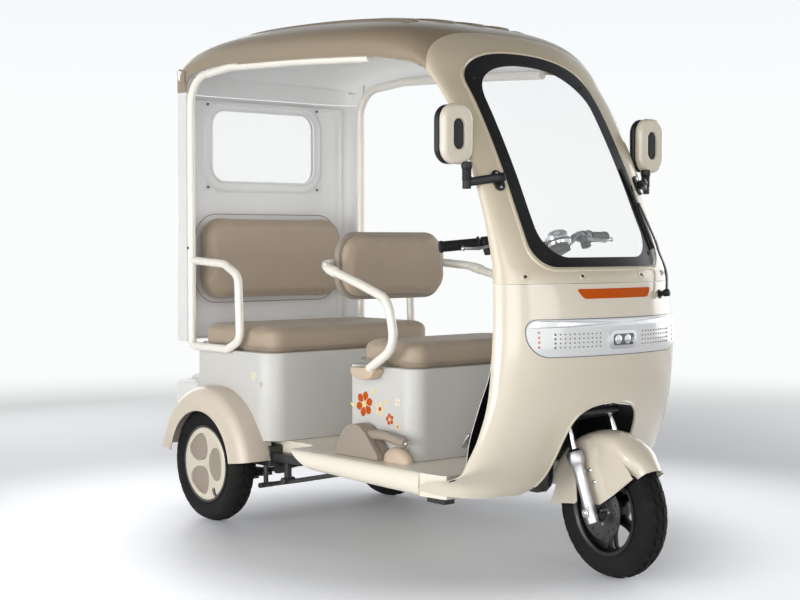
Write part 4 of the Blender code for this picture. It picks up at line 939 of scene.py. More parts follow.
def carve(bm, *cutters):
    """Cut openings out of a closed wall, and give the result back as a mesh to work on."""
    bmesh.ops.recalc_face_normals(bm, faces=bm.faces)
    made = []

    def temporary(shape):
        made.append(linked("carving", baked("carving", shape)))
        return made[-1]

    base = temporary(bm)
    for shape in cutters:
        tool = temporary(shape)
        change = base.modifiers.new("opening", "BOOLEAN")
        change.operation = "DIFFERENCE"
        change.solver = "EXACT"
        change.object = tool
    shown = base.evaluated_get(bpy.context.evaluated_depsgraph_get())
    out = opened(shown.to_mesh())
    shown.to_mesh_clear()
    for obj in made:
        mesh = obj.data
        bpy.data.objects.remove(obj)
        bpy.data.meshes.remove(mesh)
    return out


def front_patch(outline, rings, lift, thick=0.0, spacing=0.008, inner=None):
    """A patch that follows the cab's front face inside an outline of (y, z) points.

    With an inner outline it is a ring between the two.
    """
    outer = even(outline, spacing)
    count = len(outer)
    if inner is None:
        middle = (sum(p[0] for p in outer) / count, sum(p[1] for p in outer) / count)
        inner_loop = [(middle[0] + (p[0] - middle[0]) * 0.02,
                       middle[1] + (p[1] - middle[1]) * 0.02) for p in outer]
    else:
        inner_loop = [nearest_on(inner, p) for p in outer]
    bm = bmesh.new()
    loops = []
    for r in range(rings + 1):
        t = r / rings
        loop = [bm.verts.new((0, a[0] + (b[0] - a[0]) * t, a[1] + (b[1] - a[1]) * t))
                for a, b in zip(outer, inner_loop)]
        loops.append([bm.edges.new((loop[k], loop[(k + 1) % count])) for k in range(count)])
    for low, high in zip(loops, loops[1:]):
        bmesh.ops.bridge_loops(bm, edges=low + high)
    if inner is None:
        bmesh.ops.contextual_create(bm, geom=loops[-1])
    for vert in bm.verts:
        vert.co = on_front(vert.co.y, vert.co.z, lift)[0]
    if thick:
        walled(bm, thick, (6, 0, 1.2))
    return bm


def nearest_on(outline, point):
    """The nearest point of a closed outline."""
    best, found = 1e9, point
    here = Vector(point)
    for a, b in zip(outline, outline[1:] + outline[:1]):
        a, b = Vector(a), Vector(b)
        line = b - a
        t = min(max((here - a).dot(line) / max(line.length_squared, 1e-12), 0.0), 1.0)
        at = a + line * t
        if (at - here).length < best:
            best, found = (at - here).length, (at.x, at.y)
    return found


def front_trim(outline, section, lift=0.0, closed=True, spacing=0.008):
    """A trim of the given section that follows an outline on the front face."""
    points = even(outline, spacing) if closed else outline
    placed = [on_front(y, z, lift) for y, z in points]
    return swept([p for p, n in placed], section, closed, [n for p, n in placed])


def front_disc(y, z, profile, lift=0.0, steps=28):
    """A small turned part set square on the front face."""
    place, normal = on_front(y, z, lift)
    return moved(turned(profile, steps), Matrix.Translation(place) @ facing(normal))


def stud(y, z, lift, radii, depth, sides, rise=0.0):
    """A small raised dot on the front face."""
    place, normal = on_front(y, z, lift)
    dot = bmesh.new()
    bmesh.ops.create_cone(dot, cap_ends=True, segments=sides, radius1=radii[0], radius2=radii[1], depth=depth)
    return moved(dot, Matrix.Translation(place + normal * rise) @ facing(normal))


# Cab

def seam_row(across):
    """Where the cowl meets the roof: the seam runs forward towards the pillars."""
    return COWL_END - 0.15 - 1.45 * across * across


def sheet_between(low, high, rows, columns=COLUMNS):
    """A sheet of the cab between two rows that may bend across it."""
    bm = grid(columns, rows)
    for vert in bm.verts:
        across, t = vert.co.x, (vert.co.y + 1) / 2
        start = low(across) if callable(low) else low
        stop = high(across) if callable(high) else high
        vert.co = cab_point(start + (stop - start) * t, across)
    bmesh.ops.remove_doubles(bm, verts=bm.verts, dist=FUSE)
    return bm


def lined(obj, tree, look):
    """Give the inner side of a wall its own finish."""
    obj.data.materials.append(LOOKS[look])
    for polygon in obj.data.polygons:
        place = polygon.center - Vector((AXLE_X, 0, 0))
        _, normal, _, _ = tree.find_nearest(place)
        if normal is not None and polygon.normal.dot(normal) < -0.35:
            polygon.material_index = 1


def screen_shape(half, top, spring, low, corner):
    """An outline with round low corners and an arched top."""
    right = []
    for i in range(9):
        a = math.radians(-90 + 90 * i / 8)
        right.append((half - corner + corner * math.cos(a), low + corner + corner * math.sin(a)))
    for i in range(25):
        a = math.pi / 2 * i / 24
        right.append((half * math.cos(a) ** (2 / 2.3), spring + (top - spring) * math.sin(a) ** (2 / 2.3)))
    return both_halves(right)


def screen_outline(grow=0.0):
    """The windscreen border's outline."""
    half, top, spring, low, corner = SCREEN
    return screen_shape(half + grow, top + grow, spring, low - grow, corner)


def arch_outline(grow=0.0):
    """The wheel arch: round above, and flared out at its foot."""
    side = [(0.330, 0.150), (0.301, 0.236), (0.255, 0.241), (0.205, 0.243), (0.176, 0.266), (0.161, 0.298),
            (0.156, 0.345), (0.151, 0.405), (0.142, 0.450), (0.122, 0.482), (0.088, 0.502), (0.045, 0.511),
            (0.0, 0.513)]
    dense = spline(side, 5)
    return both_halves([(y + grow, z + grow) for y, z in dense], grow)


def lamp_outline(grow=0.0):
    """The lamp band: nearly square above, well rounded below."""
    half, high, low = LAMP_HALF + grow, LAMP_HIGH + grow, LAMP_LOW - grow
    small, large = LAMP_SMALL_CORNER, LAMP_LARGE_CORNER
    return arcs(((half - large, low + large, large, -90), (half - small, high - small, small, 0),
                 (small - half, high - small, small, 90), (large - half, low + large, large, 180)), 10)


def build_front_shell():
    """The lower front shell with its wheel arch, the rolled lip round it and the arch's black lining, whose
    black is partly the arch's own dark inside and partly painted shade.
    """
    wall = walled(sheet_between(0, lambda across: SHELL_END - 0.004, 96), SHELL_THICK, (5, 0, 1.0))
    arch = arch_outline()
    wall = carve(wall, cutter(arch, lambda y, z: (1.12, y, z), (0.60, 0, 0)))
    shell = piece("front_shell_skin", wall, "cream", replaces=("front_shell",), sharp=30)
    # Inner faces in the wheel well turn black: partly the shell's own dark inside, partly painted shade in
    # the arch.
    lined(shell, FRONT_TREE, "black")
    for face in shell.data.polygons:
        if face.material_index == 1 and face.center.x - AXLE_X < knee_x(face.center.z):
            face.material_index = 0
    lip = [(y, z) for y, z in arch_outline(0.0) if z > 0.262]
    roll = front_trim(lip,
                      [(-0.0035, -0.006), (0.0035, -0.006), (0.0045, 0.0), (0.0025, 0.0022),
                       (-0.0025, 0.0022), (-0.0045, 0.0)], closed=False)
    piece("arch_lip", roll, "cream")
    # Black sheets inside the arch: partly its own dark lining, partly painted shade.
    for side, name in SIDES:
        edge = [(y, z) for y, z in arch_outline(0.004) if z > 0.275 and side * y > 0.118]
        edge.sort(key=lambda p: p[1])
        sheet = grid(8, len(edge) - 1)
        for vert in sheet.verts:
            y, height = edge[round((vert.co.y + 1) / 2 * (len(edge) - 1))]
            ahead = on_front(y, height, -0.006)[0].x
            back = knee_x(height) + 0.0045
            vert.co = (back + (ahead - back) * (vert.co.x + 1) / 2, y, height)
        piece("arch_lining_and_shade_" + name, walled(sheet, 0.0015, (1.35, 0, 0.30)), "black")


def build_cowl():
    """The windscreen surround, with its screws, and the flange round the screen opening."""
    wall = walled(sheet_between(SHELL_END + 0.010, lambda across: seam_row(across) - 0.012, 110),
                  SHELL_THICK, (5, 0, 1.2))
    wall = carve(wall, cutter(screen_outline(-0.006), lambda y, z: (1.00, y, z), (0.60, 0, 0)))
    cowl = piece("front_cowl_skin", wall, "cowl", replaces=("front_cowl",), sharp=30)
    lined(cowl, FRONT_TREE, "wall")
    edge = [(-0.006, -0.0040), (0.006, -0.0040), (0.0065, 0.0), (0.0030, 0.0030), (-0.0030, 0.0030),
            (-0.0065, 0.0)]
    piece("screen_flange", front_trim(screen_outline(0.007), edge), "cowl")
    for number, y in enumerate(COWL_SCREWS_Y):
        dish = front_disc(y, COWL_SCREWS_Z, [(0.0, 0.0008), (0.006, 0.0008), (0.0075, 0.0026),
                                             (0.0105, 0.0028), (0.0125, 0.0012), (0.0130, -0.002),
                                             (0.0, -0.002)])
        piece("cowl_boss_%d" % number, dish, "cowl")
        screw = front_disc(y, COWL_SCREWS_Z, [(0.0, 0.0040), (0.0018, 0.0034), (0.0022, 0.0026),
                                              (0.0042, 0.0024), (0.0046, 0.0008), (0.0, 0.0004)])
        piece("cowl_screw_%d" % number, screw, "black")


def build_windscreen():
    """The clear pane, its black border and the border's screws."""
    pane = front_patch(screen_outline(-0.012), 12, -0.0016, 0.003, 0.010)
    piece("windscreen_pane", pane, "glass", replaces=("windscreen",))
    border = front_patch(screen_outline(0.0), 5, 0.0012, 0.0024, 0.006, screen_shape(*GLASS))
    piece("windscreen_border", border, "gloss_black", sharp=50)
    for number, (y, z) in enumerate(BORDER_SCREWS):
        screw = front_disc(y, z, [(0.0, 0.0030), (0.0022, 0.0026), (0.0028, 0.0014), (0.0056, 0.0018),
                                  (0.0066, 0.0010), (0.0070, -0.001), (0.0, -0.001)], 0.0012)
        piece("border_screw_%d" % number, screw, "black")


def build_roof():
    """The roof skin with its ribs and pale lining. Skin, ribs and edge share a tan darkened as painted shade.
    """
    wall = walled(sheet_between(seam_row, lambda across: ROOF_END - 0.004, 150, 160), SHELL_THICK,
                  (0.3, 0, 6))
    roof = piece("roof_skin", wall, "tan", replaces=("roof",), sharp=30)
    lined(roof, ROOF_TREE, "wall")
    section = [(-0.030, -0.006), (0.030, -0.006), (0.029, 0.0015), (0.024, 0.0062), (0.015, 0.0072),
               (-0.015, 0.0072), (-0.024, 0.0062), (-0.029, 0.0015)]
    for k in range(RIBS):
        y = RIB_STEP * (k - 2)
        front, rear = 0.945 - 0.9 * y * y, RIB_REAR
        route, high, scale = [], [], []
        steps = 46
        for i in range(steps + 1):
            t = i / steps
            x = rear + (front - rear) * t
            place, normal = on_roof(x, y)
            route.append(place)
            high.append(normal)
            ends = min(1.0, (1 - t) * (front - rear) / 0.022, t * (front - rear) / 0.10)
            scale.append(0.35 + 0.65 * math.sin(max(ends, 0.0) * math.pi / 2))
        rib = swept(route, section, False, high, scale)
        piece("roof_rib_%d" % k, rounded(rib, 0.0012, 2, 30), "tan")
    gutter = []
    for side in (-1, 1):
        route, high = [], []
        for i in range(61):
            row = COWL_END - 1.2 + (ROOF_END - 4.5 - COWL_END + 1.2) * i / 60
            route.append(cab_point(row, side * 1.0) + Vector((0, -side * 0.004, -0.0005)))
            high.append(Vector((0, 0, 1)))
        lip = swept(route,
                    [(-0.0055, -0.004), (0.0055, -0.004), (0.0065, 0.0), (0.0055, 0.004), (-0.0055, 0.004),
                     (-0.0065, 0.0)], False, high)
        gutter.append(lip)
    piece("roof_edge", joined(*gutter), "tan")


def window_distance(y, z, half, low, high, corner):
    """Distance of a point outside a rounded rectangle, negative inside."""
    dy = abs(y) - (half - corner)
    dz = max(low + corner - z, z - (high - corner))
    outside = math.hypot(max(dy, 0.0), max(dz, 0.0))
    return outside + min(max(dy, dz), 0.0) - corner


def soft_step(value):
    t = min(max(value, 0.0), 1.0)
    return t * t * (3 - 2 * t)


def rear_face(across):
    edge_x, _, half, centre_x, _, power = REAR_STATION
    return edge_x + (centre_x - edge_x) * max(0.0, 1 - (abs(across) / half) ** power) ** (1 / power)


def build_rear_wall():
    """The rear skin, the liner with its raised window frame and creases, and the window's screws."""
    wall = walled(sheet_between(ROOF_END + 0.002, REAR_END, 60, 160), SHELL_THICK, (-4, 0, 1.1))
    window = rounded_rect(WINDOW_HALF, WINDOW_LOW, WINDOW_HIGH, WINDOW_CORNER)
    wall = carve(wall, cutter(window, lambda y, z: (-0.32, y, z), (0.09, 0, 0)))
    piece("rear_skin", wall, "pale", replaces=("rear_shell",), sharp=30)

    bm = grid(150, 150)
    for vert in bm.verts:
        y, z = 0.366 * vert.co.x, 1.0625 + 0.4325 * vert.co.y
        d = window_distance(y, z, WINDOW_HALF, WINDOW_LOW, WINDOW_HIGH, WINDOW_CORNER)
        raise_frame = 0.0065 * (1 - soft_step((d - 0.028) / 0.010))
        crease = 0.0030 * math.exp(-((z - 1.484) / 0.0045) ** 2) if abs(y) > 0.30 or z > 1.48 else 0.0
        edge = 0.0040 * soft_step((abs(y) - 0.335) / 0.020)
        vert.co = (rear_face(y) + 0.0140 + raise_frame + crease - edge, y, z)
    liner = walled(bm, 0.0035, (3, 0, 1.1))
    liner = carve(liner, cutter(window, lambda y, z: (-0.32, y, z), (0.12, 0, 0)))
    piece("rear_lining", liner, "wall", replaces=("rear_liner",), sharp=34)
    seal = [Vector((REAR_FACE_X + 0.0225, y, z)) for y, z in even(window, 0.008)]
    trim = swept(seal, [(-0.004, -0.004), (0.004, -0.004), (0.004, 0.002), (0.0, 0.004), (-0.004, 0.002)],
                 True, [Vector((1, 0, 0))] * len(seal))
    piece("rear_window_seal", trim, "wall")
    screws = []
    for y in (-0.250, 0.250):
        for z in (1.178, 1.482):
            screw = turned([(0.0, 0.0032), (0.0030, 0.0030), (0.0052, 0.0016), (0.0060, -0.001),
                            (0.0, -0.001)], 24)
            screws.append(moved(screw, Matrix.Translation((REAR_FACE_X + 0.0210, y, z))
                                @ Matrix.Rotation(math.pi / 2, 4, "Y")))
    piece("rear_window_screws", joined(*screws), "dot")
    finish_node("rear_window", "glass")


def build_lamp_band():
    """The lamp band: white reflector, bright upper strip, dots, central lamp and its outline."""
    base = front_patch(lamp_outline(), 6, 0.0022, 0.0050, 0.006)
    piece("lamp_band", base, "lamp_white", replaces=("headlamp_band",), sharp=60)
    edge = [(-0.0016, -0.0015), (0.0016, -0.0015), (0.0016, 0.0010), (-0.0016, 0.0010)]
    piece("lamp_band_outline", front_trim(lamp_outline(0.0012), edge, 0.0005), "dot")
    strip = [(y, z) for y, z in lamp_outline(-0.004) if z > 0.73]
    low = LAMP_STRIP_LOW
    right = max(p[0] for p in strip)
    shape = [(right, low)] + [p for p in strip if p[1] > low] + [(-right, low)]
    piece("lamp_upper_strip", front_patch(shape, 3, 0.0042, 0.0022, 0.006), "satin", sharp=60)
    dots, marks = bmesh.new(), bmesh.new()
    for side in (-1, 1):
        for row in range(4):
            for column in range(11):
                y = side * (0.090 + 0.150 * column / 10)
                size = 0.0036 if column == 10 else 0.0026
                join(dots, stud(y, 0.682 + 0.0122 * row, 0.0016, (size, size * 0.8), 0.0022, 10, 0.0006))
            join(marks, stud(side * 0.285, 0.684 + 0.0135 * row, 0.0022, (0.0034, 0.0026), 0.002, 14))
    piece("lamp_dots", dots, "dot", merge=False)
    piece("side_marks", marks, "amber", merge=False)
    frame_out = rounded_rect(0.056, 0.673, 0.724, 0.016)
    frame_in = rounded_rect(0.044, 0.6825, 0.7145, 0.010)
    piece("centre_lamp_bezel", front_patch(frame_out, 3, 0.0072, 0.0060, 0.004, frame_in), "chrome", sharp=50)
    piece("centre_lamp_glass", front_patch(frame_in, 3, 0.0030, 0.0020, 0.004), "dark_lens")
    for number, y in enumerate((-0.020, 0.020)):
        lens = front_disc(y, 0.6985, [(0.0, 0.0036), (0.006, 0.0032), (0.0105, 0.0018), (0.0135, 0.0008),
                                      (0.0140, -0.001), (0.0, -0.001)], 0.0030)
        piece("centre_lamp_lens_%d" % number, lens, "reflector")


def build_stripe():
    """The orange band under the cowl, its lower corners cut back on a curve."""
    half = [(0.0, 0.8445), (0.150, 0.8445), (0.1535, 0.8430), (0.1540, 0.8400), (0.147, 0.8300),
            (0.138, 0.8200), (0.131, 0.8165), (0.0, 0.8165)]
    outline = half + [(-y, z) for y, z in reversed(half[1:-1])]
    piece("front_band", front_patch(outline, 3, 0.0010, 0.0014, 0.005), "orange", sharp=60)


def build_washer_hole():
    rim = front_disc(*WASHER_AT, [(0.0045, -0.002), (0.0045, 0.0016), (0.0062, 0.0030), (0.0090, 0.0022),
                                  (0.0100, -0.002)])
    piece("washer_rim", rim, "cowl")
    jet = front_disc(*WASHER_AT, [(0.0, 0.0008), (0.0043, 0.0008), (0.0044, -0.002), (0.0, -0.002)])
    piece("washer_jet", jet, "black")


# Seats

def settled_copy(name, bm, look, replaces, swell, voxel=0.0055):
    """A pad blown up as cloth from its plain form, its movement capped, then smoothed."""
    obj = piece(name, bm, look, replaces=replaces, sharp=180)
    bpy.context.view_layer.objects.active = obj
    remesh = obj.modifiers.new("remesh", "REMESH")
    remesh.mode = "VOXEL"
    remesh.voxel_size = voxel
    apply_modifiers(obj)
    rest = [v.co.copy() for v in obj.data.vertices]
    cloth = obj.modifiers.new("cloth", "CLOTH")
    settings = cloth.settings
    settings.quality = 5
    settings.mass = 0.3
    settings.use_pressure = True
    settings.uniform_pressure_force = 4.0
    settings.effector_weights.gravity = 0.0
    settings.tension_stiffness = 22
    settings.compression_stiffness = 22
    settings.bending_stiffness = 0.5
    cloth.collision_settings.use_collision = False
    scene = bpy.context.scene
    for number in range(1, 21):
        scene.frame_set(number)
    apply_modifiers(obj)
    scene.frame_set(1)
    for vert, start in zip(obj.data.vertices, rest):
        step = vert.co - start
        if step.length > swell:
            vert.co = start + step * (swell / step.length)
    smooth = opened(obj.data)
    for _ in range(3):
        bmesh.ops.smooth_vert(smooth, verts=smooth.verts, factor=0.5, use_axis_x=True, use_axis_y=True,
                              use_axis_z=True)
    bmesh.ops.recalc_face_normals(smooth, faces=smooth.faces)
    for face in smooth.faces:
        face.smooth = True
    smooth.to_mesh(obj.data)
    smooth.free()
    return obj


def apply_modifiers(obj):
    """Keep the shown mesh as the piece's own."""
    shown = obj.evaluated_get(bpy.context.evaluated_depsgraph_get())
    fresh = bpy.data.meshes.new_from_object(shown)
    old = obj.data
    obj.modifiers.clear()
    obj.data = fresh
    bpy.data.meshes.remove(old)
    if not fresh.materials:
        fresh.materials.append(None)
    for polygon in fresh.polygons:
        polygon.use_smooth = True


def pad_outline(rear, front, half, corner):
    """A pad's outline with rounded corners, seen from above."""
    middle, reach = (rear + front) / 2, (front - rear) / 2
    return [(middle + x, y) for y, x in rounded_rect(half, -reach, reach, corner)]


def slab(rear, front, half, low, high, corner):
    """A plain slab with rounded corners, seen from above."""
    return plate(pad_outline(rear, front, half, corner), lambda x, y: (x, y, low), (0, 0, high - low))


def seam_line(rear, front, half, height, corner, radius=0.0016):
    """A sewn seam round a pad at one height."""
    outline = even(pad_outline(rear, front, half, corner), 0.006)
    return tube([(x, y, height) for x, y in outline], radius, 8, True)


def seat_box(name, extent, front, rear):
    """A seat box in one moulding, its front corners well rounded."""
    back, ahead, half, low, high = extent
    outline = arcs(((ahead - front, half - front, front, 0), (back + rear, half - rear, rear, 90),
                    (back + rear, rear - half, rear, 180), (ahead - front, front - half, front, 270)), 12)
    skin = plate(outline, lambda x, y: (x, y, low), (0, 0, high - low), 0.004, 3)
    piece(name + "_box_skin", skin, "box", replaces=(name + "_box",))


def build_bench():
    """The bench box, its cushion and its backrest."""
    seat_box("bench", BENCH, 0.078, 0.020)
    rear, front, half, _, high = BENCH
    cushion = slab(rear + 0.006, front + 0.003, half - 0.006, high + 0.004, high + 0.078, 0.052)
    settled_copy("bench_seat_pad", rounded(cushion, 0.020, 3, 60), "leather", ("bench_cushion",), 0.010)
    piece("bench_seat_seam", seam_line(rear + 0.001, front + 0.0105, half - 0.0005, high + 0.018, 0.055),
          "seam")
    back = rounded_rect(*BENCH_BACK)
    pad = plate(back, lambda y, z: (-0.242, y, z), (0.066, 0, 0))
    settled_copy("bench_back_pad", rounded(pad, 0.022, 3, 60), "leather", ("bench_backrest",), 0.012)
    route = [Vector((-0.2335, y, z)) for y, z in even(rounded_rect(0.3245, 0.7535, 1.0785, 0.090), 0.006)]
    piece("bench_back_seam", tube(route, 0.0016, 8, True), "seam")


def build_driver_seat():
    """The driver's box, cushion, backrest with its darker shell, and the tube that carries it."""
    seat_box("driver", DRIVER, 0.060, 0.030)
    finish_node("battery_block", "black")
    rear, front, half, _, high = DRIVER
    cushion = slab(rear + 0.036, front + 0.003, half - 0.003, high + 0.004, high + 0.072, 0.056)
    settled_copy("driver_seat_pad", rounded(cushion, 0.020, 3, 60), "leather", ("driver_cushion",),
                 0.010)
    piece("driver_seat_seam", seam_line(rear + 0.0305, front + 0.0095, half + 0.0030, high + 0.018, 0.060),
          "seam")
    back = rounded_rect(*DRIVER_BACK)
    pad = plate(back, lambda y, z: (0.486, y, z), (0.036, 0, 0))
    settled_copy("driver_back_pad", rounded(pad, 0.014, 3, 60), "leather", ("driver_backrest",), 0.010)
    shell = rounded_rect(*DRIVER_BACK_SHELL)
    tray = plate(shell, lambda y, z: (0.471, y, z), (0.024, 0, 0), 0.009, 4)
    piece("driver_back_shell", tray, "taupe")

    carrier_x = 0.470 - ARM_RADIUS - 0.0002
    arm_y = half + ARM_RADIUS + 0.0235
    side = [(0.780, arm_y, high - 0.004), (0.905, arm_y, 0.655), (0.872, arm_y, 0.800), (0.740, arm_y, 0.842),
            (0.545, arm_y - 0.012, 0.893), (carrier_x, 0.256, 0.905)]
    loop = [(x, -y, z) for x, y, z in side] + list(reversed(side))
    arms = [tube(bent(loop, 0.075, 10), ARM_RADIUS, 24)]
    for sign in (-1, 1):
        collar = bar((0.560, sign * (arm_y - 0.011), 0.8885), (0.600, sign * (arm_y - 0.0085), 0.8790),
                     0.0172, corner=0.002)
        arms.append(collar)
    piece("driver_arm_tube", joined(*arms), "ivory", replaces=("driver_arms",))
    feet = []
    for sign in (-1, 1):
        inner, outer = sorted((sign * (half + 0.0005), sign * (arm_y + 0.006)))
        shape = [(0.690, high - 0.004), (0.800, high - 0.002), (0.806, high - 0.012), (0.792, high - 0.034),
                 (0.760, high - 0.042), (0.715, high - 0.040), (0.690, high - 0.024)]
        foot = plate(shape, lambda x, z: (x, inner, z), (0, outer - inner, 0), 0.004, 3)
        feet.append(foot)
    piece("arm_feet", joined(*feet), "sand")


def build_door_tubes():
    """The tube round each door opening, with the bench's armrest welded on and its screw."""
    rows = CAB[COWL_END:ROOF_END + 1]

    def roof_edge(x):
        for front, rear in zip(rows, rows[1:]):
            if rear[0] <= x:
                break
        t = (x - front[0]) / (rear[0] - front[0])
        return front[1] + (rear[1] - front[1]) * t, front[2] + (rear[2] - front[2]) * t

    for sign, name in SIDES:
        y = sign * RAIL_Y
        top = []
        for x in (0.10, 0.45, 0.84):
            height, half = roof_edge(x)
            top.append((x, sign * (half - 0.0203), height - 0.006))
        route = [(RAIL_REAR, y, RAIL_LOW + 0.03), (RAIL_REAR, y, top[0][2] - 0.02)] + top
        loop = tube(bent(route, 0.11, 16), RAIL_RADIUS, 24)
        arm = [(RAIL_REAR, y, 0.912), (0.050, y, 0.900), (0.136, y, 0.862), (0.146, y, 0.640),
               (0.070, y, RAIL_LOW), (RAIL_REAR, y, RAIL_LOW), (RAIL_REAR, y, RAIL_LOW + 0.06)]
        join(loop, tube(bent(arm, 0.045, 8), ARM_RADIUS, 24))
        piece("door_tube_" + name, loop, "ivory", replaces=("side_loop_" + name,))
        screw = moved(turned([(0.0, 0.0034), (0.003, 0.0032), (0.0050, 0.0016), (0.0056, -0.004),
                              (0.0, -0.004)], 20),
                      Matrix.Translation((RAIL_REAR, y + sign * RAIL_RADIUS, 0.955))
                      @ Matrix.Rotation(-sign * math.pi / 2, 4, "X"))
        piece("door_tube_screw_" + name, screw, "black")


# Deck and body sides

def build_deck():
    """The floor pan: long edges rolled, its front inside the shell, wells cut for the rear wheels."""
    edge_x, _, half, centre_x, _, power = SHELL_STATIONS[0]
    step_x, inset, front = edge_x - 0.001, 0.008, 1.205
    right = [(-0.270, half)]
    right += [(-0.270 + (step_x + 0.270) * k / 40, half) for k in range(1, 41)]
    right.append((step_x, half - inset))
    for i in range(0, 40):
        across = (half - inset) * (1 - (i / 40) ** 3)
        ahead = edge_x + (centre_x - edge_x) * (1 - (across / half) ** power) ** (1 / power)
        if step_x < ahead - inset < front:
            right.append((ahead - inset, across - inset))
    right.append((front, right[-1][1]))
    outline = right + [(x, -y) for x, y in reversed(right)]
    slab_mesh = plate(outline, lambda x, y: (x, y, DECK_LOW), (0, 0, DECK_TOP - DECK_LOW))
    bmesh.ops.recalc_face_normals(slab_mesh, faces=slab_mesh.faces)
    rims = [e for e in slab_mesh.edges if abs(e.verts[0].co.z - e.verts[1].co.z) < 1e-5
            and all(abs(abs(v.co.y) - half) < 1e-5 for v in e.verts)]
    bevel(slab_mesh, rims, 0.022, 8)
    for vert in slab_mesh.verts:
        depth = 1.10 + 0.42 * soft_step((vert.co.x - 0.15) / 0.95)
        vert.co.z = DECK_TOP - (DECK_TOP - vert.co.z) * depth
    wells = []
    for side in (-1, 1):
        inner, outer = side * (FENDER_INNER - 0.040), side * (half + 0.05)
        corners = [(-0.32, inner, 0), (WELL_END, inner, 0), (WELL_END, outer, 0), (-0.32, outer, 0)]
        well = cutter([(p.x, p.y) for p in bent(corners, 0.030, 8)], lambda x, y: (x, y, 0.2), (0, 0, 0.2))
        for vert in well.verts:
            if vert.co.x > 0:
                vert.co.x += WELL_SLOPE * (DECK_TOP - vert.co.z)
        wells.append(well)
    piece("deck_pan", carve(slab_mesh, *wells), "deck", replaces=("deck",), sharp=32)


def fender_section(sign):
    inner, outer, r = FENDER_INNER, FENDER_OUTER, FENDER_RADIUS
    rows = [(inner, r), (inner + 0.035, r + 0.006), ((inner + outer) / 2, r + 0.008),
            (outer - 0.040, r + 0.007),
            (outer - 0.022, r + 0.003), (outer - 0.009, r - 0.010), (outer - 0.001, r - 0.030),
            (outer, r - 0.050), (outer + 0.001, r - 0.066), (outer + 0.0035, r - 0.0735)]
    return [(sign * y, radius) for y, radius in spline(rows, 4)]


def build_rear_fenders():
    """Rear fenders: a crowned band rolled into an outer skirt, with a flared rear foot and a bead."""
    for sign, name in SIDES:
        section = fender_section(sign)
        bm = grid(len(section) - 1, 72)
        for vert in bm.verts:
            column = round((vert.co.x + 1) / 2 * (len(section) - 1))
            t = (vert.co.y + 1) / 2
            y, radius = section[column]
            a = math.radians(7.0 + 164.0 * t)
            flare = 0.010 * soft_step((t - 0.93) / 0.07)
            skirt = 0.5 + 0.5 * column / (len(section) - 1)
            vert.co = ((radius + flare * skirt) * math.cos(a), y,
                       AXLE_Z + (radius + flare * skirt) * math.sin(a))
        wall = walled(bm, 0.004, (0, sign * 3.0, 1.4))
        piece("rear_fender_skin_" + name, wall, "fender", replaces=("rear_fender_" + name,), sharp=45)
        y_lip, r_lip = section[-1]
        turns = [math.radians(7.5 + 163 * i / 60) for i in range(61)]
        route = [Vector((r_lip * math.cos(a), y_lip - sign * 0.0020, AXLE_Z + r_lip * math.sin(a)))
                 for a in turns]
        piece("rear_fender_bead_" + name, tube(route, 0.0030, 10), "fender")


def build_tail():
    finish_node("tail_box", "pale")
    finish_node("tail_lamp_left", "red")
    finish_node("tail_lamp_right", "red")
    corners = []
    for sign in (-1, 1):
        low = (-0.262, min(sign * 0.330, sign * 0.400), 0.385)
        high = (-0.120, max(sign * 0.330, sign * 0.400), 0.480)
        corners.append(block(low, high, 0.024, 5))
    piece("tail_corners", joined(*corners), "pale")


# Mirrors and wiper

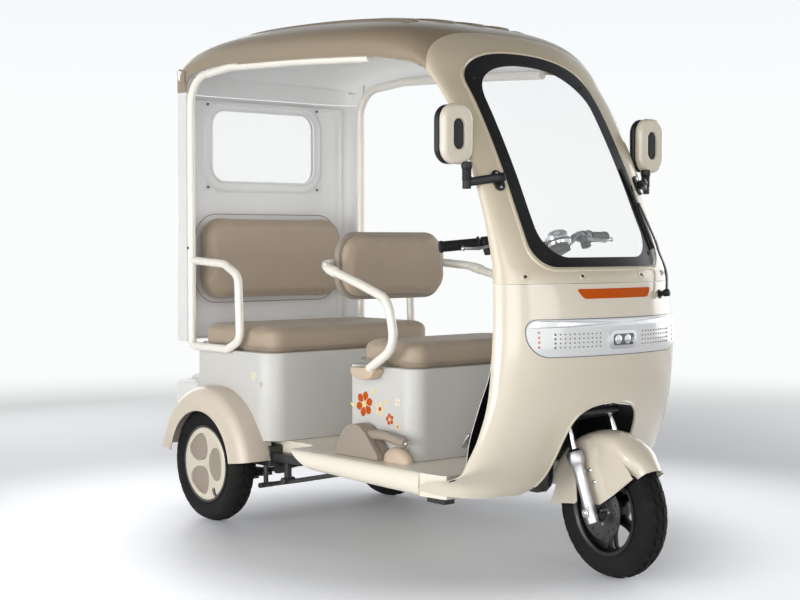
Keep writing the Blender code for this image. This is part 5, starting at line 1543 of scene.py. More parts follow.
def build_mirrors():
    """Mirrors: a cream housing over a black body, a dark oval, a ribbed stalk, an arm and an oval foot."""
    for sign, name in SIDES:
        centre_x, y, centre_z = MIRROR_AT[0], sign * MIRROR_AT[1], MIRROR_AT[2]

        def layer(half, high, corner, x, depth, spacing=0.005, rim=0.0):
            return plate(even(rounded_rect(half, -high, high, corner), spacing),
                         lambda a, z: (centre_x + x, y + a, centre_z + z), (depth, 0, 0), rim, 2)

        cover = rounded(layer(0.0575, 0.0855, 0.046, -0.003, 0.0285), 0.013, 6, 60)
        oval = rounded_rect(0.0215, -0.0440, 0.0440, 0.0212)
        cover = carve(cover,
                      cutter(oval, lambda a, z: (centre_x + 0.0195, y + a, centre_z + z), (0.05, 0, 0)))
        piece("mirror_cover_" + name, rounded(cover, 0.0016, 2, 50), "cream", replaces=("mirror_" + name,))
        body = rounded(layer(0.0560, 0.0840, 0.045, -0.0255, 0.0220), 0.009, 4, 60)
        piece("mirror_body_" + name, body, "black")
        piece("mirror_glass_" + name, layer(0.0500, 0.0780, 0.040, -0.0265, 0.0020), "mirror")
        oval = layer(0.0210, 0.0435, 0.0208, 0.0180, 0.0022, 0.003, 0.0008)
        piece("mirror_oval_" + name, oval, "gloss_black")

        place, normal = on_front(sign * MIRROR_FOOT[0], MIRROR_FOOT[1])
        foot = place + normal * 0.0004
        stalk = Vector((MIRROR_STALK[0], sign * MIRROR_STALK[1], MIRROR_STALK[2]))
        parts = []
        rings = [(0.0, -0.018), (0.0105, -0.018), (0.0125, -0.016), (0.0125, 0.004)]
        for k in range(4):
            z = 0.006 + 0.0075 * k
            rings += [(0.0125, z), (0.0140, z + 0.002), (0.0140, z + 0.005), (0.0125, z + 0.0065)]
        rings += [(0.0150, 0.040), (0.0165, 0.048), (0.0150, 0.058), (0.0, 0.060)]
        parts.append(shifted(turned(rings, 32), stalk))
        knee = foot + normal * 0.026
        across = (stalk - knee).normalized()
        arm = swept([knee - across * 0.010, knee + across * 0.008, stalk - across * 0.004,
                     stalk + across * 0.006],
                    [(x * 0.62, z * 1.25) for x, z in circle(0.0098, 20)], False, Vector((0, 0, 1)))
        parts.append(rounded(arm, 0.002, 2, 50))
        parts.append(bar(foot + normal * 0.001, knee + normal * 0.008, 0.0115, 0.0100, 24, 0.002))
        along = Vector((-0.45, 0.0, 0.9))
        along = (along - normal * along.dot(normal)).normalized()
        side = along.cross(normal)
        oval = even(rounded_rect(0.0165, -0.0320, 0.0320, 0.0162), 0.003)
        parts.append(plate(oval, lambda a, b: foot + side * a + along * b, normal * 0.0070, 0.002, 3))
        piece("mirror_arm_" + name, joined(*parts), "black")
        turn = facing(normal)
        screws = []
        for step in (-0.022, 0.022):
            head = turned([(0.0, 0.0030), (0.0024, 0.0026), (0.0026, 0.0016), (0.0046, 0.0014),
                           (0.0050, -0.001), (0.0, -0.001)], 20)
            screws.append(moved(head, Matrix.Translation(foot + along * step + normal * 0.0070) @ turn))
        piece("mirror_foot_screws_" + name, joined(*screws), "chrome")


def build_wiper():
    """The wiper at the screen's left edge: cap, spindle, spring arm and blade."""
    place, normal = on_front(*WIPER_FOOT)
    turn = facing(normal)
    cap = turned([(0.0, 0.034), (0.007, 0.0335), (0.0110, 0.031), (0.0118, 0.026), (0.0112, 0.017),
                  (0.0080, 0.014), (0.0080, 0.005), (0.0132, 0.004), (0.0138, 0.0005), (0.0, 0.0005)], 28)
    route = [place + normal * 0.024]
    for height, across, lift in ((0.885, 0.243, 0.022), (0.945, 0.256, 0.0175), (0.985, 0.262, 0.0160),
                                 (1.095, 0.255, 0.0110)):
        route.append(on_front(across, height)[0] + normal * lift)
    arm = swept(smooth_route(route, 6),
                [(0.0062, -0.0022), (0.0062, 0.0022), (-0.0062, 0.0022), (-0.0062, -0.0022)], False, normal)
    piece("wiper_arm", joined(moved(cap, Matrix.Translation(place) @ turn), rounded(arm, 0.0012, 2, 50)),
          "black",
          replaces=("wiper",))
    blade_route = []
    for height in (0.955, 1.00, 1.05, 1.10, 1.15, 1.20):
        blade_route.append(on_front(0.2475 - 0.10 * max(0.0, height - 1.10), height, 0.0080)[0])
    edge = [(-0.0030, -0.0050), (-0.0008, -0.0062), (0.0008, -0.0062), (0.0030, -0.0050), (0.0034, 0.0020),
            (-0.0034, 0.0020)]
    piece("wiper_blade", swept(smooth_route(blade_route, 6), edge, False, normal), "grip")


# Controls on the floor

def build_parking_brake():
    """The brake housing in two halves, its lever with a bright button, and the round bump beside it."""
    y0 = -DRIVER[2] - 0.0065
    hump = [(0.632, 0.0), (0.640, 0.030), (0.656, 0.058), (0.680, 0.086), (0.704, 0.100), (0.734, 0.104),
            (0.764, 0.095), (0.792, 0.073), (0.818, 0.046), (0.840, 0.022), (0.846, 0.0)]
    halves = []
    profile = [(x, DECK_TOP + 0.0006 + z) for x, z in spline(hump, 4)]
    for near, far in ((y0, y0 - 0.0272), (y0 - 0.0288, y0 - 0.0560)):
        halves.append(plate(profile, lambda x, z: (x, near, z), (0, far - near, 0), 0.0110, 5))
    piece("brake_housing", joined(*halves), "taupe", replaces=("parking_brake",))
    middle = y0 - 0.028
    core = plate([(x + (0.742 - x) * 0.05, z - 0.004) for x, z in profile],
                 lambda x, z: (x, middle + 0.003, z), (0, -0.006, 0))
    piece("brake_housing_seam", core, "black")
    route = bent([(0.765, middle, 0.374), (0.850, middle, 0.378), (0.950, middle, 0.364)], 0.10, 8)
    lever = tube(route, 0.0155, 28)
    piece("brake_lever", rounded(lever, 0.004, 4, 50), "taupe")
    end = (route[-1] - route[-2]).normalized()
    piece("brake_button", bar(route[-1] - end * 0.002, route[-1] + end * 0.009, 0.0080, 0.0074, 24, 0.0020),
          "chrome")
    bump = bmesh.new()
    bmesh.ops.create_uvsphere(bump, u_segments=36, v_segments=20, radius=1.0)
    bmesh.ops.scale(bump, vec=(0.062, 0.027, 0.046), verts=bump.verts)
    bmesh.ops.translate(bump, vec=(0.902, y0 - 0.018, DECK_TOP), verts=bump.verts)
    bmesh.ops.bisect_plane(bump, geom=list(bump.verts) + list(bump.edges) + list(bump.faces), dist=1e-6,
                           plane_co=(0, 0, DECK_TOP + 0.0002), plane_no=(0, 0, -1), clear_outer=True)
    rim = [e for e in bump.edges if len(e.link_faces) == 1]
    bmesh.ops.contextual_create(bump, geom=rim)
    piece("brake_cable_cover", bump, "sand")


def build_pedal():
    x, y = PEDAL_AT
    route = bent([(x + 0.045, y, DECK_TOP + 0.0005), (x + 0.045, y, 0.345), (x - 0.004, y, 0.378)], 0.02, 6)
    collar = bar((x + 0.045, y, DECK_TOP + 0.0004), (x + 0.045, y, DECK_TOP + 0.010), 0.014, 0.012, 24, 0.002)
    piece("pedal_stalk", joined(tube(route, 0.0070, 20), collar), "steel", replaces=("brake_pedal",))
    tilt = Matrix.Translation((x, y, 0.376)) @ Matrix.Rotation(0.7, 4, "Y")
    pad = block((-0.010, -0.036, -0.028), (-0.001, 0.036, 0.028), 0.004, 3)
    piece("pedal_pad", moved(pad, tilt), "silver")
    treads = [block((-0.0125, -0.031, z - 0.0025), (-0.0095, 0.031, z + 0.0025), 0.001, 2)
              for z in (-0.018, -0.009, 0.0, 0.009, 0.018)]
    piece("pedal_treads", moved(joined(*treads), tilt), "grip")


def build_leg_shield():
    """The inner panel before the driver's knees, slotted for the column, on the wheel housing, black towards
    the wheel partly as its own dark finish and partly as painted shade.
    """
    profile = spline(KNEE_ROWS, 6)
    back = [(x + 0.0025, z) for x, z in reversed(profile)]
    panel = plate(profile + back, lambda x, z: (x, -0.300, z), (0, 0.600, 0))
    slots = [cutter(rounded_rect(0.045, 0.630, 1.00, 0.040), lambda y, z: (1.15, y, z),
                    (0.30, 0, 0)) for _ in range(2)]
    piece("knee_panel", rounded(carve(panel, slots[0]), 0.001, 2, 60), "lining", replaces=("leg_shield",))
    housing = grid(24, len(profile) - 1)
    for vert in housing.verts:
        x, height = profile[round((vert.co.y + 1) / 2 * (len(profile) - 1))]
        height = max(height, DECK_TOP + 0.001)
        shell = FRONT_TREE.ray_cast(Vector((x, 0.0, height)), Vector((0, 1, 0)))[0]
        half = shell.y - SHELL_THICK - 0.0005 if shell else 0.300
        vert.co = (x + 0.0026, vert.co.x * half, height)
    housing = walled(housing, 0.0014, (-5, 0, 0.5))
    # Faces towards the wheel stay black: partly the housing's own dark finish, partly painted shade in the
    # arch.
    wall = piece("wheel_housing", carve(housing, slots[1]), "black")
    wall.data.materials.append(LOOKS["lining"])
    for face in wall.data.polygons:
        if face.normal.x < -0.3:
            face.material_index = 1


# Generic flowers and leaves on the seat boxes

def petal(root, length, width, count=13):
    """The outline of one rounded petal from its root to its tip."""
    out = []
    for i in range(count):
        t = i / (count - 1)
        out.append((root + (length - root) * t, width * math.sin(math.pi * t ** 1.35) ** 0.8))
    return out + [(x, -y) for x, y in reversed(out[1:-1])]


def flat_shape(outline, x, z, turn, y, lift, size=1.0):
    """A thin printed shape on the right-hand face of a seat box."""
    c, s = math.cos(turn), math.sin(turn)
    return plate(outline, lambda a, b: (x + size * (a * c - b * s), y - lift, z + size * (a * s + b * c)),
                 (0, -0.0004, 0))


def flower(x, z, size, turn, y, look, heart, name, petals=5, lift=0.0):
    width = 0.66 * math.sin(math.pi / petals) * 0.94
    shapes = [flat_shape(petal(0.16, 1.0, width), x, z, turn + 2 * math.pi * k / petals, y, lift, size)
              for k in range(petals)]
    piece(name + "_petals", joined(*shapes), look, merge=False)
    eye = [(0.26 * math.cos(a), 0.26 * math.sin(a)) for a in [2 * math.pi * k / 20 for k in range(20)]]
    piece(name + "_heart", flat_shape(eye, x, z, 0.0, y, lift + 0.0004, size), heart, merge=False)


def build_prints():
    """Generic blossoms and leaves in orange and cream, where such boxes carry a print."""
    driver_y = -DRIVER[2] - 0.0002
    flower(0.708, 0.462, 0.042, 0.30, driver_y, "orange", "petal_yellow", "print_large", 6)
    flower(0.786, 0.452, 0.025, 0.10, driver_y, "petal_cream", "orange", "print_middle", 5)
    flower(0.834, 0.424, 0.019, 0.55, driver_y, "orange", "petal_cream", "print_low", 5)
    flower(0.872, 0.404, 0.013, 0.20, driver_y, "petal_cream", "orange", "print_small", 5)
    leaf = petal(0.0, 1.0, 0.24)
    leaves = [flat_shape(leaf, 0.662, 0.452, math.radians(165), driver_y, 0.0, 0.026),
              flat_shape(leaf, 0.745, 0.492, math.radians(58), driver_y, 0.0, 0.026),
              flat_shape(leaf, 0.806, 0.470, math.radians(35), driver_y, 0.0, 0.022)]
    piece("print_leaves", joined(*leaves), "petal_yellow", merge=False)
    flower(0.872, 0.480, 0.0145, 0.7, driver_y, "blossom", "petal_yellow", "box_blossom", 4)
    bench_y = -BENCH[2] - 0.0002
    flower(0.205, 0.520, 0.0165, 0.5, bench_y, "blossom", "petal_yellow", "bench_blossom_a", 4)
    flower(0.238, 0.494, 0.0095, 0.1, bench_y, "blossom", "petal_yellow", "bench_blossom_b", 4)


# Steering

def build_fork():
    """Column, yoke, stanchions, dust seals, sliders with their lugs, axle nuts and the fender stays."""
    column = [bar((0, 0, 0.280), (0, 0, 0.800), 0.0158, sides=32, corner=0.001),
              bar((0, 0, 0.318), (0, 0, 0.333), 0.0250, 0.0225, 32, 0.002)]
    steered("steering_column", joined(*column), "silver", ("fork",))
    yoke = block((-0.030, -0.108, 0.275), (0.030, 0.108, 0.300), 0.009, 4)
    steered("fork_yoke", yoke, "steel")
    legs, tubes, seals, nuts, stays = [], [], [], [], []
    for sign in (-1, 1):
        y = sign * FORK_Y
        tubes.append(bar((0, y, 0.160), (0, y, 0.312), 0.0108, sides=32, corner=0.001))
        profile = [(0.0, -0.034), (0.0150, -0.034), (0.0176, -0.031), (0.0178, -0.010), (0.0170, 0.000),
                   (0.0170, 0.080), (0.0176, 0.132), (0.0220, 0.142), (0.0250, 0.148), (0.0252, 0.176),
                   (0.0236, 0.180), (0.0, 0.180)]
        legs.append(shifted(turned(profile, 48), (0, y, 0)))
        legs.append(block((-0.013, y - 0.017, -0.020), (0.013, y + 0.017, 0.018), 0.006, 3))
        seals.append(moved(turned([(0.0, 0.180), (0.0175, 0.180), (0.0176, 0.183), (0.0150, 0.187),
                                   (0.0125, 0.188), (0.0, 0.188)], 40), Matrix.Translation((0, y, 0))))
        nuts.append(bar((0, y + sign * 0.016, 0), (0, y + sign * 0.0225, 0), 0.0140, 0.0135, 6, 0.001))
        nuts.append(bar((0, y + sign * 0.020, 0), (0, y + sign * 0.0258, 0), 0.0075, 0.0070, 24, 0.001))
        stays.append(bar((0, sign * 0.0600, 0.166), (0, sign * 0.0700, 0.166), 0.0075, sides=24))
        stays.append(bar((0.002, sign * 0.0600, 0.120), (0.002, sign * 0.0690, 0.120), 0.0060, sides=24))
    nuts.append(bar((0, -0.100, 0), (0, 0.100, 0), 0.0078, sides=24))
    steered("fork_stanchions", joined(*tubes), "chrome")
    steered("fork_sliders", joined(*legs), "silver")
    steered("fork_seals", joined(*seals), "grip")
    steered("axle_nuts", joined(*nuts), "chrome")
    steered("fender_stays", joined(*stays), "silver")


def build_front_fender():
    """The front fender: a crowned band, with a side skirt before and behind each fork leg, and bolts."""
    radius, half = TYRE_RADIUS - 0.004, 0.0580
    section = [(half + 0.0005, -0.040), (half, -0.020), (half - 0.001, 0.0), (half - 0.004, 0.012),
               (half - 0.014, 0.022), (half - 0.030, 0.0275), (0.012, 0.0300)]
    section = spline(section + [(0.0, 0.0304)] + [(-y, rise) for y, rise in reversed(section)], 3)
    count = len(section) - 1
    bm = grid(count, 64)
    for vert in bm.verts:
        y, rise = section[round((vert.co.x + 1) / 2 * count)]
        t = (vert.co.y + 1) / 2
        a = math.radians(36 + 129 * t) - RAKE
        taper = 1.0 - 0.35 * soft_step((0.16 - t) / 0.16)
        depth = rise if rise > 0 else rise * (0.35 + 0.65 * soft_step(t / 0.22))
        vert.co = ((radius + depth) * math.cos(a), y * taper, (radius + depth) * math.sin(a))
    wall = walled(bm, 0.003, (0.0, 0.0, 1.5))
    steered("front_fender_skin", wall, "cream", ("front_fender",), 40)
    ahead = (
        (0.1850, 0.0512), (0.1740, 0.0812), (0.1581, 0.1089), (0.1379, 0.1336), (0.1138, 0.1546),
        (0.0866, 0.1714), (0.0569, 0.1834), (0.0258, 0.1903), (-0.0062, 0.1919), (-0.0186, 0.0304),
        (0.0118, 0.0138), (0.0832, 0.0268), (0.1933, 0.0535))
    behind = (
        (-0.0290, 0.1898), (-0.0415, 0.1875), (-0.0538, 0.1843), (-0.0658, 0.1804), (-0.0776, 0.1756),
        (-0.0891, 0.1701), (-0.1001, 0.1638), (-0.2045, 0.0697), (-0.0818, 0.0404))
    skirts = []
    for sign in (-1, 1):
        for outline in (ahead, behind):
            flat = plate(outline, lambda x, z: (x, sign * 0.0562, z), (0, sign * 0.0022, 0))
            sharp = [e for e in flat.edges if abs(e.verts[0].co.y - e.verts[1].co.y) > 0.001
                     and Vector((e.verts[0].co.x, e.verts[0].co.z)).length < 0.185]
            bevel(flat, sharp, 0.012, 5)
            skirts.append(flat)
    steered("front_fender_skirts", joined(*skirts), "cream", (), 40)
    bolts = []
    for sign in (-1, 1):
        for x, z in ((0.016, 0.118), (0.022, 0.082)):
            head = turned([(0.0, 0.0042), (0.0040, 0.0040), (0.0058, 0.0024), (0.0070, -0.001),
                           (0.0, -0.001)], 24)
            bolts.append(moved(head, Matrix.Translation((x, sign * 0.0590, z))
                               @ Matrix.Rotation(-sign * math.pi / 2, 4, "X")))
    steered("front_fender_bolts", joined(*bolts), "chrome")


def build_handlebar():
    """Bars, clamp, switch blocks, levers with ball ends, ribbed grips and the domed instrument."""
    top = BAR_TOP
    half = [(0.030, 0.0, top + 0.004), (0.030, 0.070, top + 0.004), (0.012, 0.130, top + 0.036),
            (-0.068, 0.319, top + 0.056)]
    path = [(x, -y, z) for x, y, z in reversed(half)] + half[1:]
    steered("bar_tube", tube(bent(path, 0.05, 10), 0.0110, 24), "steel", ("handlebar",))
    clamp = [block((-0.020, -0.028, top - 0.040), (0.042, 0.028, top - 0.006), 0.005, 3),
             block((0.016, -0.022, top - 0.010), (0.046, 0.022, top + 0.018), 0.006, 3),
             block((0.040, -0.024, top - 0.036), (0.101, 0.024, top - 0.016), 0.004, 3)]
    steered("bar_clamp", joined(*clamp), "black")
    end = Vector(half[3])
    along = (end - Vector(half[2])).normalized()
    near = end - along * 0.118
    levers, blocks, buttons, perches = [], [], [], []
    for sign, name in SIDES:
        m = Vector((1, sign, 1))
        profile = [(0.0, 0.0), (0.0118, 0.0), (0.0205, 0.001), (0.0212, 0.0035), (0.0200, 0.0055),
                   (0.0160, 0.0075)]
        for k in range(14):
            z = 0.010 + 0.0070 * k
            profile += [(0.0164, z), (0.0164, z + 0.0040), (0.0152, z + 0.0048), (0.0152, z + 0.0062)]
        profile += [(0.0164, 0.110), (0.0180, 0.113), (0.0180, 0.121), (0.0160, 0.1225), (0.0, 0.1225)]
        grip = turned(profile, 36)
        turn = facing(along * m)
        steered("grip_sleeve_" + name, moved(grip, Matrix.Translation(near * m) @ turn), "grip",
                ("grip_" + name,))

        def sleeve(centre, reach, radius, sides, corner):
            return bar((centre - along * reach) * m, (centre + along * reach) * m, radius, sides=sides,
                       corner=corner)

        switch = near - along * 0.024
        blocks.append(sleeve(switch, 0.019, 0.0190, 36, 0.004))
        spot = (switch + Vector((-0.004, 0, 0.0))) * m
        blocks.append(block(spot + Vector((-0.012, -0.012, -0.036)), spot + Vector((0.014, 0.012, -0.004)),
                            0.005, 3))
        buttons.append(bar(spot + Vector((-0.017, 0.0, 0.002)), spot + Vector((-0.022, 0.0, 0.003)), 0.0055,
                           sides=20, corner=0.001))
        perch = switch - along * 0.034
        perches.append(sleeve(perch, 0.009, 0.0165, 32, 0.003))
        perches.append(block(perch * m + Vector((0.006, -0.009, -0.022)),
                             perch * m + Vector((0.028, 0.009, -0.004)), 0.004, 3))
        points = [perch + Vector((0.016, 0.006, -0.014)), switch + Vector((0.022, 0.010, -0.018)),
                  switch + Vector((0.025, 0.055, -0.025)), switch + Vector((0.008, 0.098, -0.017))]
        route = smooth_route([p * m for p in points], 8)
        scale = [1.0 + 0.35 * math.sin(math.pi * i / (len(route) - 1)) for i in range(len(route))]
        levers.append(swept(route, [(x * 0.75, z * 1.3) for x, z in circle(0.0045, 16)], False,
                            Vector((1, 0, 0)), scale))
        levers.append(ball(route[-1], 0.0072))
    steered("switch_blocks", joined(*blocks), "black")
    steered("switch_buttons", joined(*buttons), "red")
    steered("lever_perches", joined(*perches), "dark_metal")
    steered("brake_levers", joined(*levers), "silver")
    dome = [(0.0, 0.0), (0.030, 0.0), (0.036, 0.003), (0.0382, 0.010), (0.0382, 0.026), (0.0365, 0.034),
            (0.0315, 0.0415), (0.0235, 0.0470), (0.0130, 0.0505), (0.0, 0.0518)]
    pod = shifted(turned(dome, 64), (0.081, 0, top - 0.0155))
    steered("instrument_dome", pod, "chrome", ("instrument_pod",))
    ring = moved(turned([(0.0384, 0.011), (0.0400, 0.012), (0.0400, 0.017), (0.0384, 0.018)], 64),
                 Matrix.Translation((0.081, 0, top - 0.0155)))
    steered("instrument_ring", ring, "black")


# Wheels

def build_tyre(name, node, body, at):
    """A tyre: carcass with bead and sidewall ring, then shoulder lugs and centre blocks cut as its tread."""
    r = TYRE_RADIUS
    side = [(BEAD_RADIUS + 0.0005, 0.0330), (BEAD_RADIUS + 0.006, 0.0362), (BEAD_RADIUS + 0.014, 0.0378),
            (BEAD_RADIUS + 0.020, 0.0402), (BEAD_RADIUS + 0.026, 0.0410), (BEAD_RADIUS + 0.029, 0.0424),
            (BEAD_RADIUS + 0.038, 0.0428), (r - 0.026, 0.0420), (r - 0.018, 0.0398), (r - 0.011, 0.0340),
            (r - 0.0080, 0.0240), (r - 0.0062, 0.0120)]
    profile = side + [(r - 0.0058, 0.0)] + [(radius, -y) for radius, y in reversed(side)]
    profile += [(BEAD_RADIUS - 0.001, -0.020), (BEAD_RADIUS - 0.001, 0.020)]
    carcass = spun(profile, 120)
    piece(name + "_carcass", carcass, "rubber", body, (node,), at, 40)

    lugs = bmesh.new()
    count = 30
    shoulder = bmesh.new()
    bmesh.ops.create_cube(shoulder, size=1.0)
    for vert in shoulder.verts:
        x, y, z = vert.co.x * 2, vert.co.y * 2, vert.co.z * 2
        inner = y < 0
        radial = (r - 0.0022 if inner else r - 0.0128) if z > 0 else (r - 0.0100 if inner else r - 0.0280)
        across = 0.0145 if inner else (0.0374 if z > 0 else 0.0420)
        spread = 0.0118 if inner else 0.0142
        vert.co = (x * spread + (0.004 if inner else 0.0), across, radial)
    bevel(shoulder, shoulder.edges, 0.0016, 1)
    centre = bmesh.new()
    bmesh.ops.create_cube(centre, size=1.0)
    for vert in centre.verts:
        x, y, z = vert.co.x * 2, vert.co.y * 2, vert.co.z * 2
        vert.co = (x * 0.0130 + y * 0.0045, y * 0.0092, r - 0.0006 if z > 0 else r - 0.0110)
    bevel(centre, centre.edges, 0.0014, 1)
    meshes = [baked("lug", shoulder), baked("lug", centre)]
    for k in range(count):
        for mirror in (1, -1):
            a = 2 * math.pi * (k + (0.0 if mirror > 0 else 0.5)) / count
            turn = Matrix.Rotation(a, 4, "Y") @ Matrix.Diagonal((mirror, mirror, 1, 1))
            join(lugs, moved(opened(meshes[0]), turn))
        join(lugs, moved(opened(meshes[1]), Matrix.Rotation(2 * math.pi * (k + 0.25) / count, 4, "Y")))
    for mesh in meshes:
        bpy.data.meshes.remove(mesh)
    piece(name + "_tread", lugs, "rubber", body, (), at, 30, merge=False)


def build_front_wheel():
    """Front wheel: dark cast rim with six twin-edged spokes, hub, brake disc with its holes and its bolts."""
    build_tyre("front_tyre", "front_tyre", "front_wheel", FRONT_HUB_AT)
    barrel = [(0.1275, 0.0365), (0.1335, 0.0368), (0.1340, 0.0395), (0.1270, 0.0402), (0.1215, 0.0370),
              (0.1180, 0.0300), (0.1160, 0.0180), (0.1155, 0.0), (0.1160, -0.0180), (0.1180, -0.0300),
              (0.1215, -0.0370), (0.1270, -0.0402), (0.1340, -0.0395), (0.1335, -0.0368), (0.1275, -0.0365)]
    parts = [spun(barrel, 96)]
    parts.append(spun([(0.0092, 0.034), (0.034, 0.034), (0.044, 0.030), (0.050, 0.022), (0.052, 0.010),
                       (0.052, -0.018), (0.048, -0.030), (0.044, -0.0425), (0.0092, -0.0425)], 64))
    for k in range(6):
        a = 2 * math.pi * (k + 0.5) / 6
        shape = [(0.046, -0.017), (0.080, -0.0105), (0.108, -0.0125), (0.120, -0.026), (0.120, 0.026),
                 (0.108, 0.0125), (0.080, 0.0105), (0.046, 0.017)]
        spoke = plate(shape, lambda radial, across: (radial, -0.010, across), (0, 0.020, 0), 0.003, 3)
        parts.append(moved(spoke, Matrix.Rotation(a, 4, "Y")))
    piece("front_wheel_casting", joined(*parts), "black_cast", "front_wheel", ("front_rim",), FRONT_HUB_AT)
    disc = spun([(0.085, 0.0018), (0.0845, 0.0022), (0.031, 0.0022), (0.030, 0.0018), (0.030, -0.0018),
                 (0.031, -0.0022), (0.0845, -0.0022), (0.085, -0.0018)], 96)
    holes = []
    for k in range(18):
        a = 2 * math.pi * k / 18
        radius = 0.066 + 0.0065 * (k % 3)
        place = Vector((radius * math.cos(a), 0, radius * math.sin(a)))
        holes.append(bar(place - Vector((0, 0.01, 0)), place + Vector((0, 0.01, 0)), 0.0030, sides=12))
    disc = carve(disc, joined(*holes))
    piece("brake_rotor", moved(disc, Matrix.Translation((0, FRONT_DISC_Y, 0))), "dark_metal", "front_wheel",
          ("front_disc",), FRONT_HUB_AT, 30)
    bolts = []
    for k in range(5):
        a = 2 * math.pi * k / 5
        place = Vector((0.039 * math.cos(a), -0.0482, 0.039 * math.sin(a)))
        bolts.append(bar(place, place + Vector((0, -0.0026, 0)), 0.0052, 0.0046, 6))
    piece("rotor_bolts", joined(*bolts), "chrome", "front_wheel", (), FRONT_HUB_AT)


def build_caliper():
    """The brake caliper on the right fork leg, outside the turning rotor."""
    body = block((-0.052, -0.0660, 0.040), (-0.020, -0.0530, 0.094), 0.005, 3)
    steered("brake_caliper", body, "dark_metal")


def cap_panel(turn, share=1.0):
    """A sunk panel of the wheel cap: wide and even with the rim outside, bulging in towards the hub."""
    turns = [math.radians(-90 + 12 * k) for k in range(16)]
    inner = [(0.58 - 0.43 * math.cos(t), 0.445 * math.sin(t)) for t in turns]
    outer = spline([(0.58, 0.445), (0.67, 0.428), (0.745, 0.365), (0.790, 0.250), (0.812, 0.125),
                    (0.818, 0.0), (0.812, -0.125), (0.790, -0.250), (0.745, -0.365), (0.67, -0.428),
                    (0.58, -0.445)], 3)
    shape = inner + outer[1:-1]
    middle = 0.50
    c, s = math.cos(turn), math.sin(turn)
    out = []
    for x, z in shape:
        x, z = CAP_RADIUS * (middle + (x - middle) * share), CAP_RADIUS * z * share
        out.append((x * c - z * s, x * s + z * c))
    return out


def build_rear_wheels():
    """Rear wheels: steel rim, and a cream cap with three sunk taupe panels and a valve notch."""
    for sign, name in SIDES:
        body = "rear_wheel_" + name
        at = Matrix.Translation((AXLE_X, sign * REAR_TRACK / 2, AXLE_Z))
        flip = Matrix.Diagonal((1, sign, 1, 1))
        build_tyre("rear_tyre_" + name, "rear_tyre_" + name, body, at)
        rim = [(0.1275, 0.0365), (0.1335, 0.0368), (0.1340, 0.0395), (0.1270, 0.0400), (0.1180, 0.0300),
               (0.1155, 0.0), (0.060, -0.010), (0.055, -0.030), (0.0092, -0.030), (0.0092, -0.024),
               (0.050, -0.024), (0.056, -0.005), (0.1155, -0.012), (0.1180, -0.0300), (0.1270, -0.0400),
               (0.1340, -0.0395), (0.1335, -0.0368), (0.1275, -0.0365)]
        piece("rear_rim_ring_" + name, moved(spun(rim, 96), flip), "steel", body,
              ("rear_rim_" + name,), at)
        dish = [(0.0, 0.0300), (0.014, 0.0303), (0.040, 0.0355), (0.070, 0.0395), (0.100, 0.0420),
                (0.116, 0.0425), (0.1235, 0.0412), (0.1285, 0.0375), (0.1292, 0.0345), (0.1240, 0.0345),
                (0.100, 0.0340), (0.0, 0.0240)]
        cap = spun(dish, 128)
        cuts = [cutter(cap_panel(math.radians(4 + 120 * k)), lambda x, z: (x, 0.0355, z), (0, 0.03, 0))
                for k in range(3)]
        notch = (0.106 * math.cos(VALVE_AT), 0.106 * math.sin(VALVE_AT))
        cuts.append(bar((notch[0], 0.0335, notch[1]), (notch[0], 0.060, notch[1]), 0.0115, sides=28))
        cuts.append(bar((notch[0] * 1.12, 0.0335, notch[1] * 1.12), (notch[0] * 1.12, 0.060, notch[1] * 1.12),
                        0.0095, sides=28))
        for shape in cuts:
            cap = carve(cap, shape)
        piece("wheel_cap_" + name, moved(rounded(cap, 0.0012, 3, 50), flip), "cream",
              body, (), at, 50)
        panels = [plate(cap_panel(math.radians(4 + 120 * k), 0.985), lambda x, z: (x, 0.0346, z),
                        (0, 0.0020, 0), 0.0008, 2) for k in range(3)]
        panels = [rounded(p, 0.0002, 1, 60) for p in panels]
        piece("wheel_cap_panels_" + name, moved(joined(*panels), flip), "taupe", body,
              (), at)
        socket = bar((notch[0], 0.0320, notch[1]), (notch[0], 0.0350, notch[1]), 0.0135, sides=28)
        piece("valve_recess_" + name, moved(socket, flip), "black", body, (), at)
        valve = bar((notch[0], 0.0335, notch[1]), (notch[0], 0.0415, notch[1]), 0.0030, 0.0026, 16, 0.0006)
        piece("wheel_cap_valve_" + name, moved(valve, flip), "dot", body, (),
              at)


# Underside

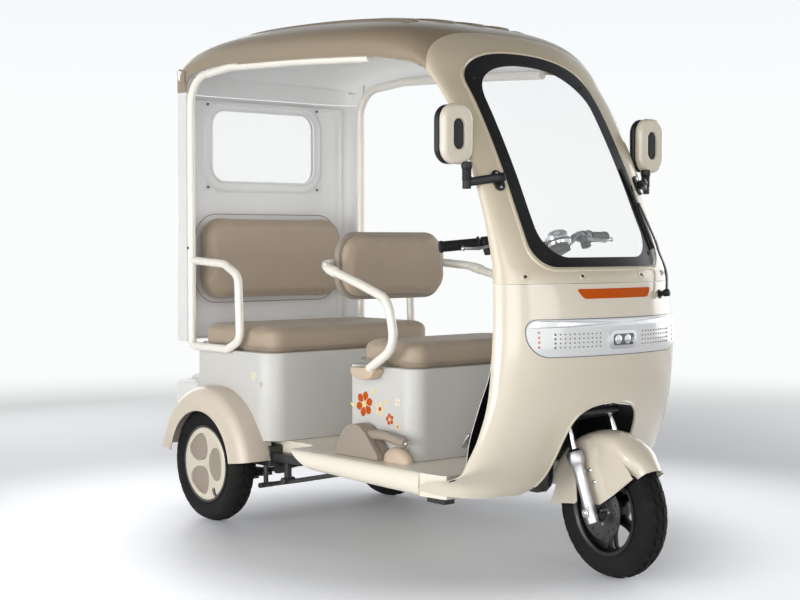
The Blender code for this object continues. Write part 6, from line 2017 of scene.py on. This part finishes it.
def build_underside():
    """Axle, springs and frame take their finish, with clips, U bolts, shackles and dampers added."""
    for node in ("chassis_frame", "rear_axle", "leaf_spring_left", "leaf_spring_right"):
        finish_node(node, "steel")
    spring_y = REAR_TRACK / 2 - 0.043 - 0.0225 - 0.057
    parts = []
    for sign in (-1, 1):
        y = sign * spring_y
        for x in (-0.030, 0.030):
            for dy in (-0.027, 0.027):
                parts.append(bar((x, y + dy, AXLE_Z - 0.062), (x, y + dy, AXLE_Z + 0.026), 0.005, sides=16))
            parts.append(tube([Vector((x, y - 0.027, AXLE_Z + 0.024)), Vector((x, y - 0.020, AXLE_Z + 0.034)),
                               Vector((x, y + 0.020, AXLE_Z + 0.034)),
                               Vector((x, y + 0.027, AXLE_Z + 0.024))], 0.005,
                              14))
        parts.append(block((-0.048, y - 0.034, AXLE_Z - 0.066), (0.048, y + 0.034, AXLE_Z - 0.058), 0.002, 2))
        for x in (-0.235, 0.235):
            parts.append(block((x - 0.010, y - 0.027, AXLE_Z - 0.020), (x + 0.010, y + 0.027, AXLE_Z + 0.012),
                               0.002, 2))
    piece("spring_clips", joined(*parts), "steel")
    hangers = []
    for sign in (-1, 1):
        y = sign * 0.318
        hangers.append(block((0.155, y - 0.030, 0.212), (0.262, y + 0.030, 0.284), 0.006, 3))
        hangers.append(block((0.262, y - 0.020, 0.232), (0.420, y + 0.020, 0.262), 0.006, 3))
        hangers.append(bar((0.199, y, 0.215), (0.199, y, 0.141), 0.0085, sides=20, corner=0.002))
        hangers.append(bar((0.199, y - 0.028, 0.141), (0.199, y + 0.028, 0.141), 0.0090, sides=20,
                           corner=0.002))
        hangers.append(bar((0.328, y - 0.024, 0.172), (0.328, y + 0.024, 0.172), 0.0120, sides=20,
                           corner=0.002))
        hangers.append(block((0.318, y - 0.010, 0.165), (0.338, y + 0.010, 0.235), 0.003, 2))
        hangers.append(tube(bent([(0.199, y, 0.141), (0.400, y, 0.182), (0.650, y, 0.236)], 0.05, 6), 0.0080,
                            20))
        hangers.append(block((1.040, y * 0.94 - 0.022, 0.196), (1.120, y * 0.94 + 0.022, 0.245), 0.004, 2))
    piece("spring_hangers", joined(*hangers), "steel")


BUILDERS = (build_front_shell, build_cowl, build_windscreen, build_roof, build_rear_wall, build_lamp_band,
            build_stripe, build_washer_hole, build_bench, build_driver_seat, build_door_tubes, build_deck,
            build_rear_fenders, build_tail, build_mirrors, build_wiper, build_parking_brake, build_pedal,
            build_leg_shield, build_prints, build_fork, build_front_fender, build_handlebar,
            build_front_wheel, build_caliper, build_rear_wheels, build_underside)


# Set

def build_camera():
    data = bpy.data.cameras.new("camera")
    data.sensor_width = SENSOR
    data.lens = LENS
    camera = linked("camera", data)
    camera.location = (CAMERA_X + AXLE_X, CAMERA_Y, CAMERA_Z)
    camera.rotation_euler = (math.radians(90 - CAMERA_PITCH), 0, math.radians(CAMERA_AZIMUTH))
    bpy.context.scene.camera = camera


def seen_directly(tree):
    """One where the camera, a mirror or clear sheet sees a thing, and none where light falls on it."""
    path = tree.nodes.new("ShaderNodeLightPath")
    either = arithmetic(tree, "ADD", path.outputs["Is Camera Ray"], path.outputs["Is Glossy Ray"])
    return arithmetic(tree, "ADD", either, path.outputs["Is Transmission Ray"], True)


def build_floor():
    floor = linked("floor", baked("floor", grid(1, 1, 30.0)))
    material, tree, shader = bare_material("floor")
    place = object_place(tree)
    cloud = noise(tree, 1.1, place, 5.0)
    tree.links.new(mixed(tree, cloud, FLOOR_TONES[0], FLOOR_TONES[1]), shader.inputs["Base Color"])
    shader.inputs["Roughness"].default_value = 0.55
    shader.inputs["Emission Color"].default_value = FLOOR_PAINTED_LIGHT_TONE
    away = tree.nodes.new("ShaderNodeVectorMath")
    away.operation = "LENGTH"
    tree.links.new(place, away.inputs[0])
    away = away.outputs["Value"]
    # Painted light on the floor: a camera-only glow in a ring round the vehicle, none under it, so the floor
    # there stays darker; it fades out further away.
    painted_ring = ranged(tree, away, True, From_Min=0.60, From_Max=1.20, To_Max=FLOOR_PAINTED_LIGHT)
    spent = ranged(tree, away, True, From_Min=1.3, From_Max=2.3, To_Min=1.0, To_Max=0.0)
    fade = ranged(tree, away, True, From_Min=2.2, From_Max=6.5)
    seen = seen_directly(tree)
    painted_ring_seen = arithmetic(tree, "MULTIPLY", arithmetic(tree, "MULTIPLY", painted_ring, spent), seen)
    tree.links.new(painted_ring_seen, shader.inputs["Emission Strength"])
    far = tree.nodes.new("ShaderNodeEmission")
    far.inputs["Color"].default_value = HORIZON
    blend = tree.nodes.new("ShaderNodeMixShader")
    tree.links.new(arithmetic(tree, "MULTIPLY", fade, seen), blend.inputs["Fac"])
    tree.links.new(shader.outputs["BSDF"], blend.inputs[1])
    tree.links.new(far.outputs["Emission"], blend.inputs[2])
    tree.links.new(blend.outputs["Shader"], tree.nodes["Material Output"].inputs["Surface"])
    floor.data.materials.append(material)


def build_light():
    """The surroundings, which differ for what is seen and for what lights, and the soft lamps."""
    world = bpy.data.worlds.new("studio")
    bpy.context.scene.world = world
    world.use_nodes = True
    tree = world.node_tree
    shader = tree.nodes["Background"]
    height = height_in(tree, tree.nodes.new("ShaderNodeTexCoord").outputs["Generated"])

    def by_height(low, high, below, above):
        return mixed(tree, ranged(tree, height, True, From_Min=low, From_Max=high), below, above)

    shown = by_height(0.40, 0.75, by_height(0.04, 0.24, HORIZON, SKY), CEILING)
    soft = by_height(0.10, 0.70, SOFT_LOW, SOFT_HIGH)
    tree.links.new(mixed(tree, seen_directly(tree), soft, shown), shader.inputs["Color"])
    shader.inputs["Strength"].default_value = 1.0
    for name, place, aim, size, power in LAMPS:
        lamp = bpy.data.lights.new(name, "AREA")
        lamp.energy = power
        lamp.size = size
        light = linked(name, lamp)
        light.location = place
        light.rotation_euler = (Vector(aim) - Vector(place)).to_track_quat("-Z", "Y").to_euler()
        light.visible_camera = False


build_camera()
build_floor()
build_light()
for build in BUILDERS:
    build()
bpy.context.scene.view_settings.view_transform = "Standard"
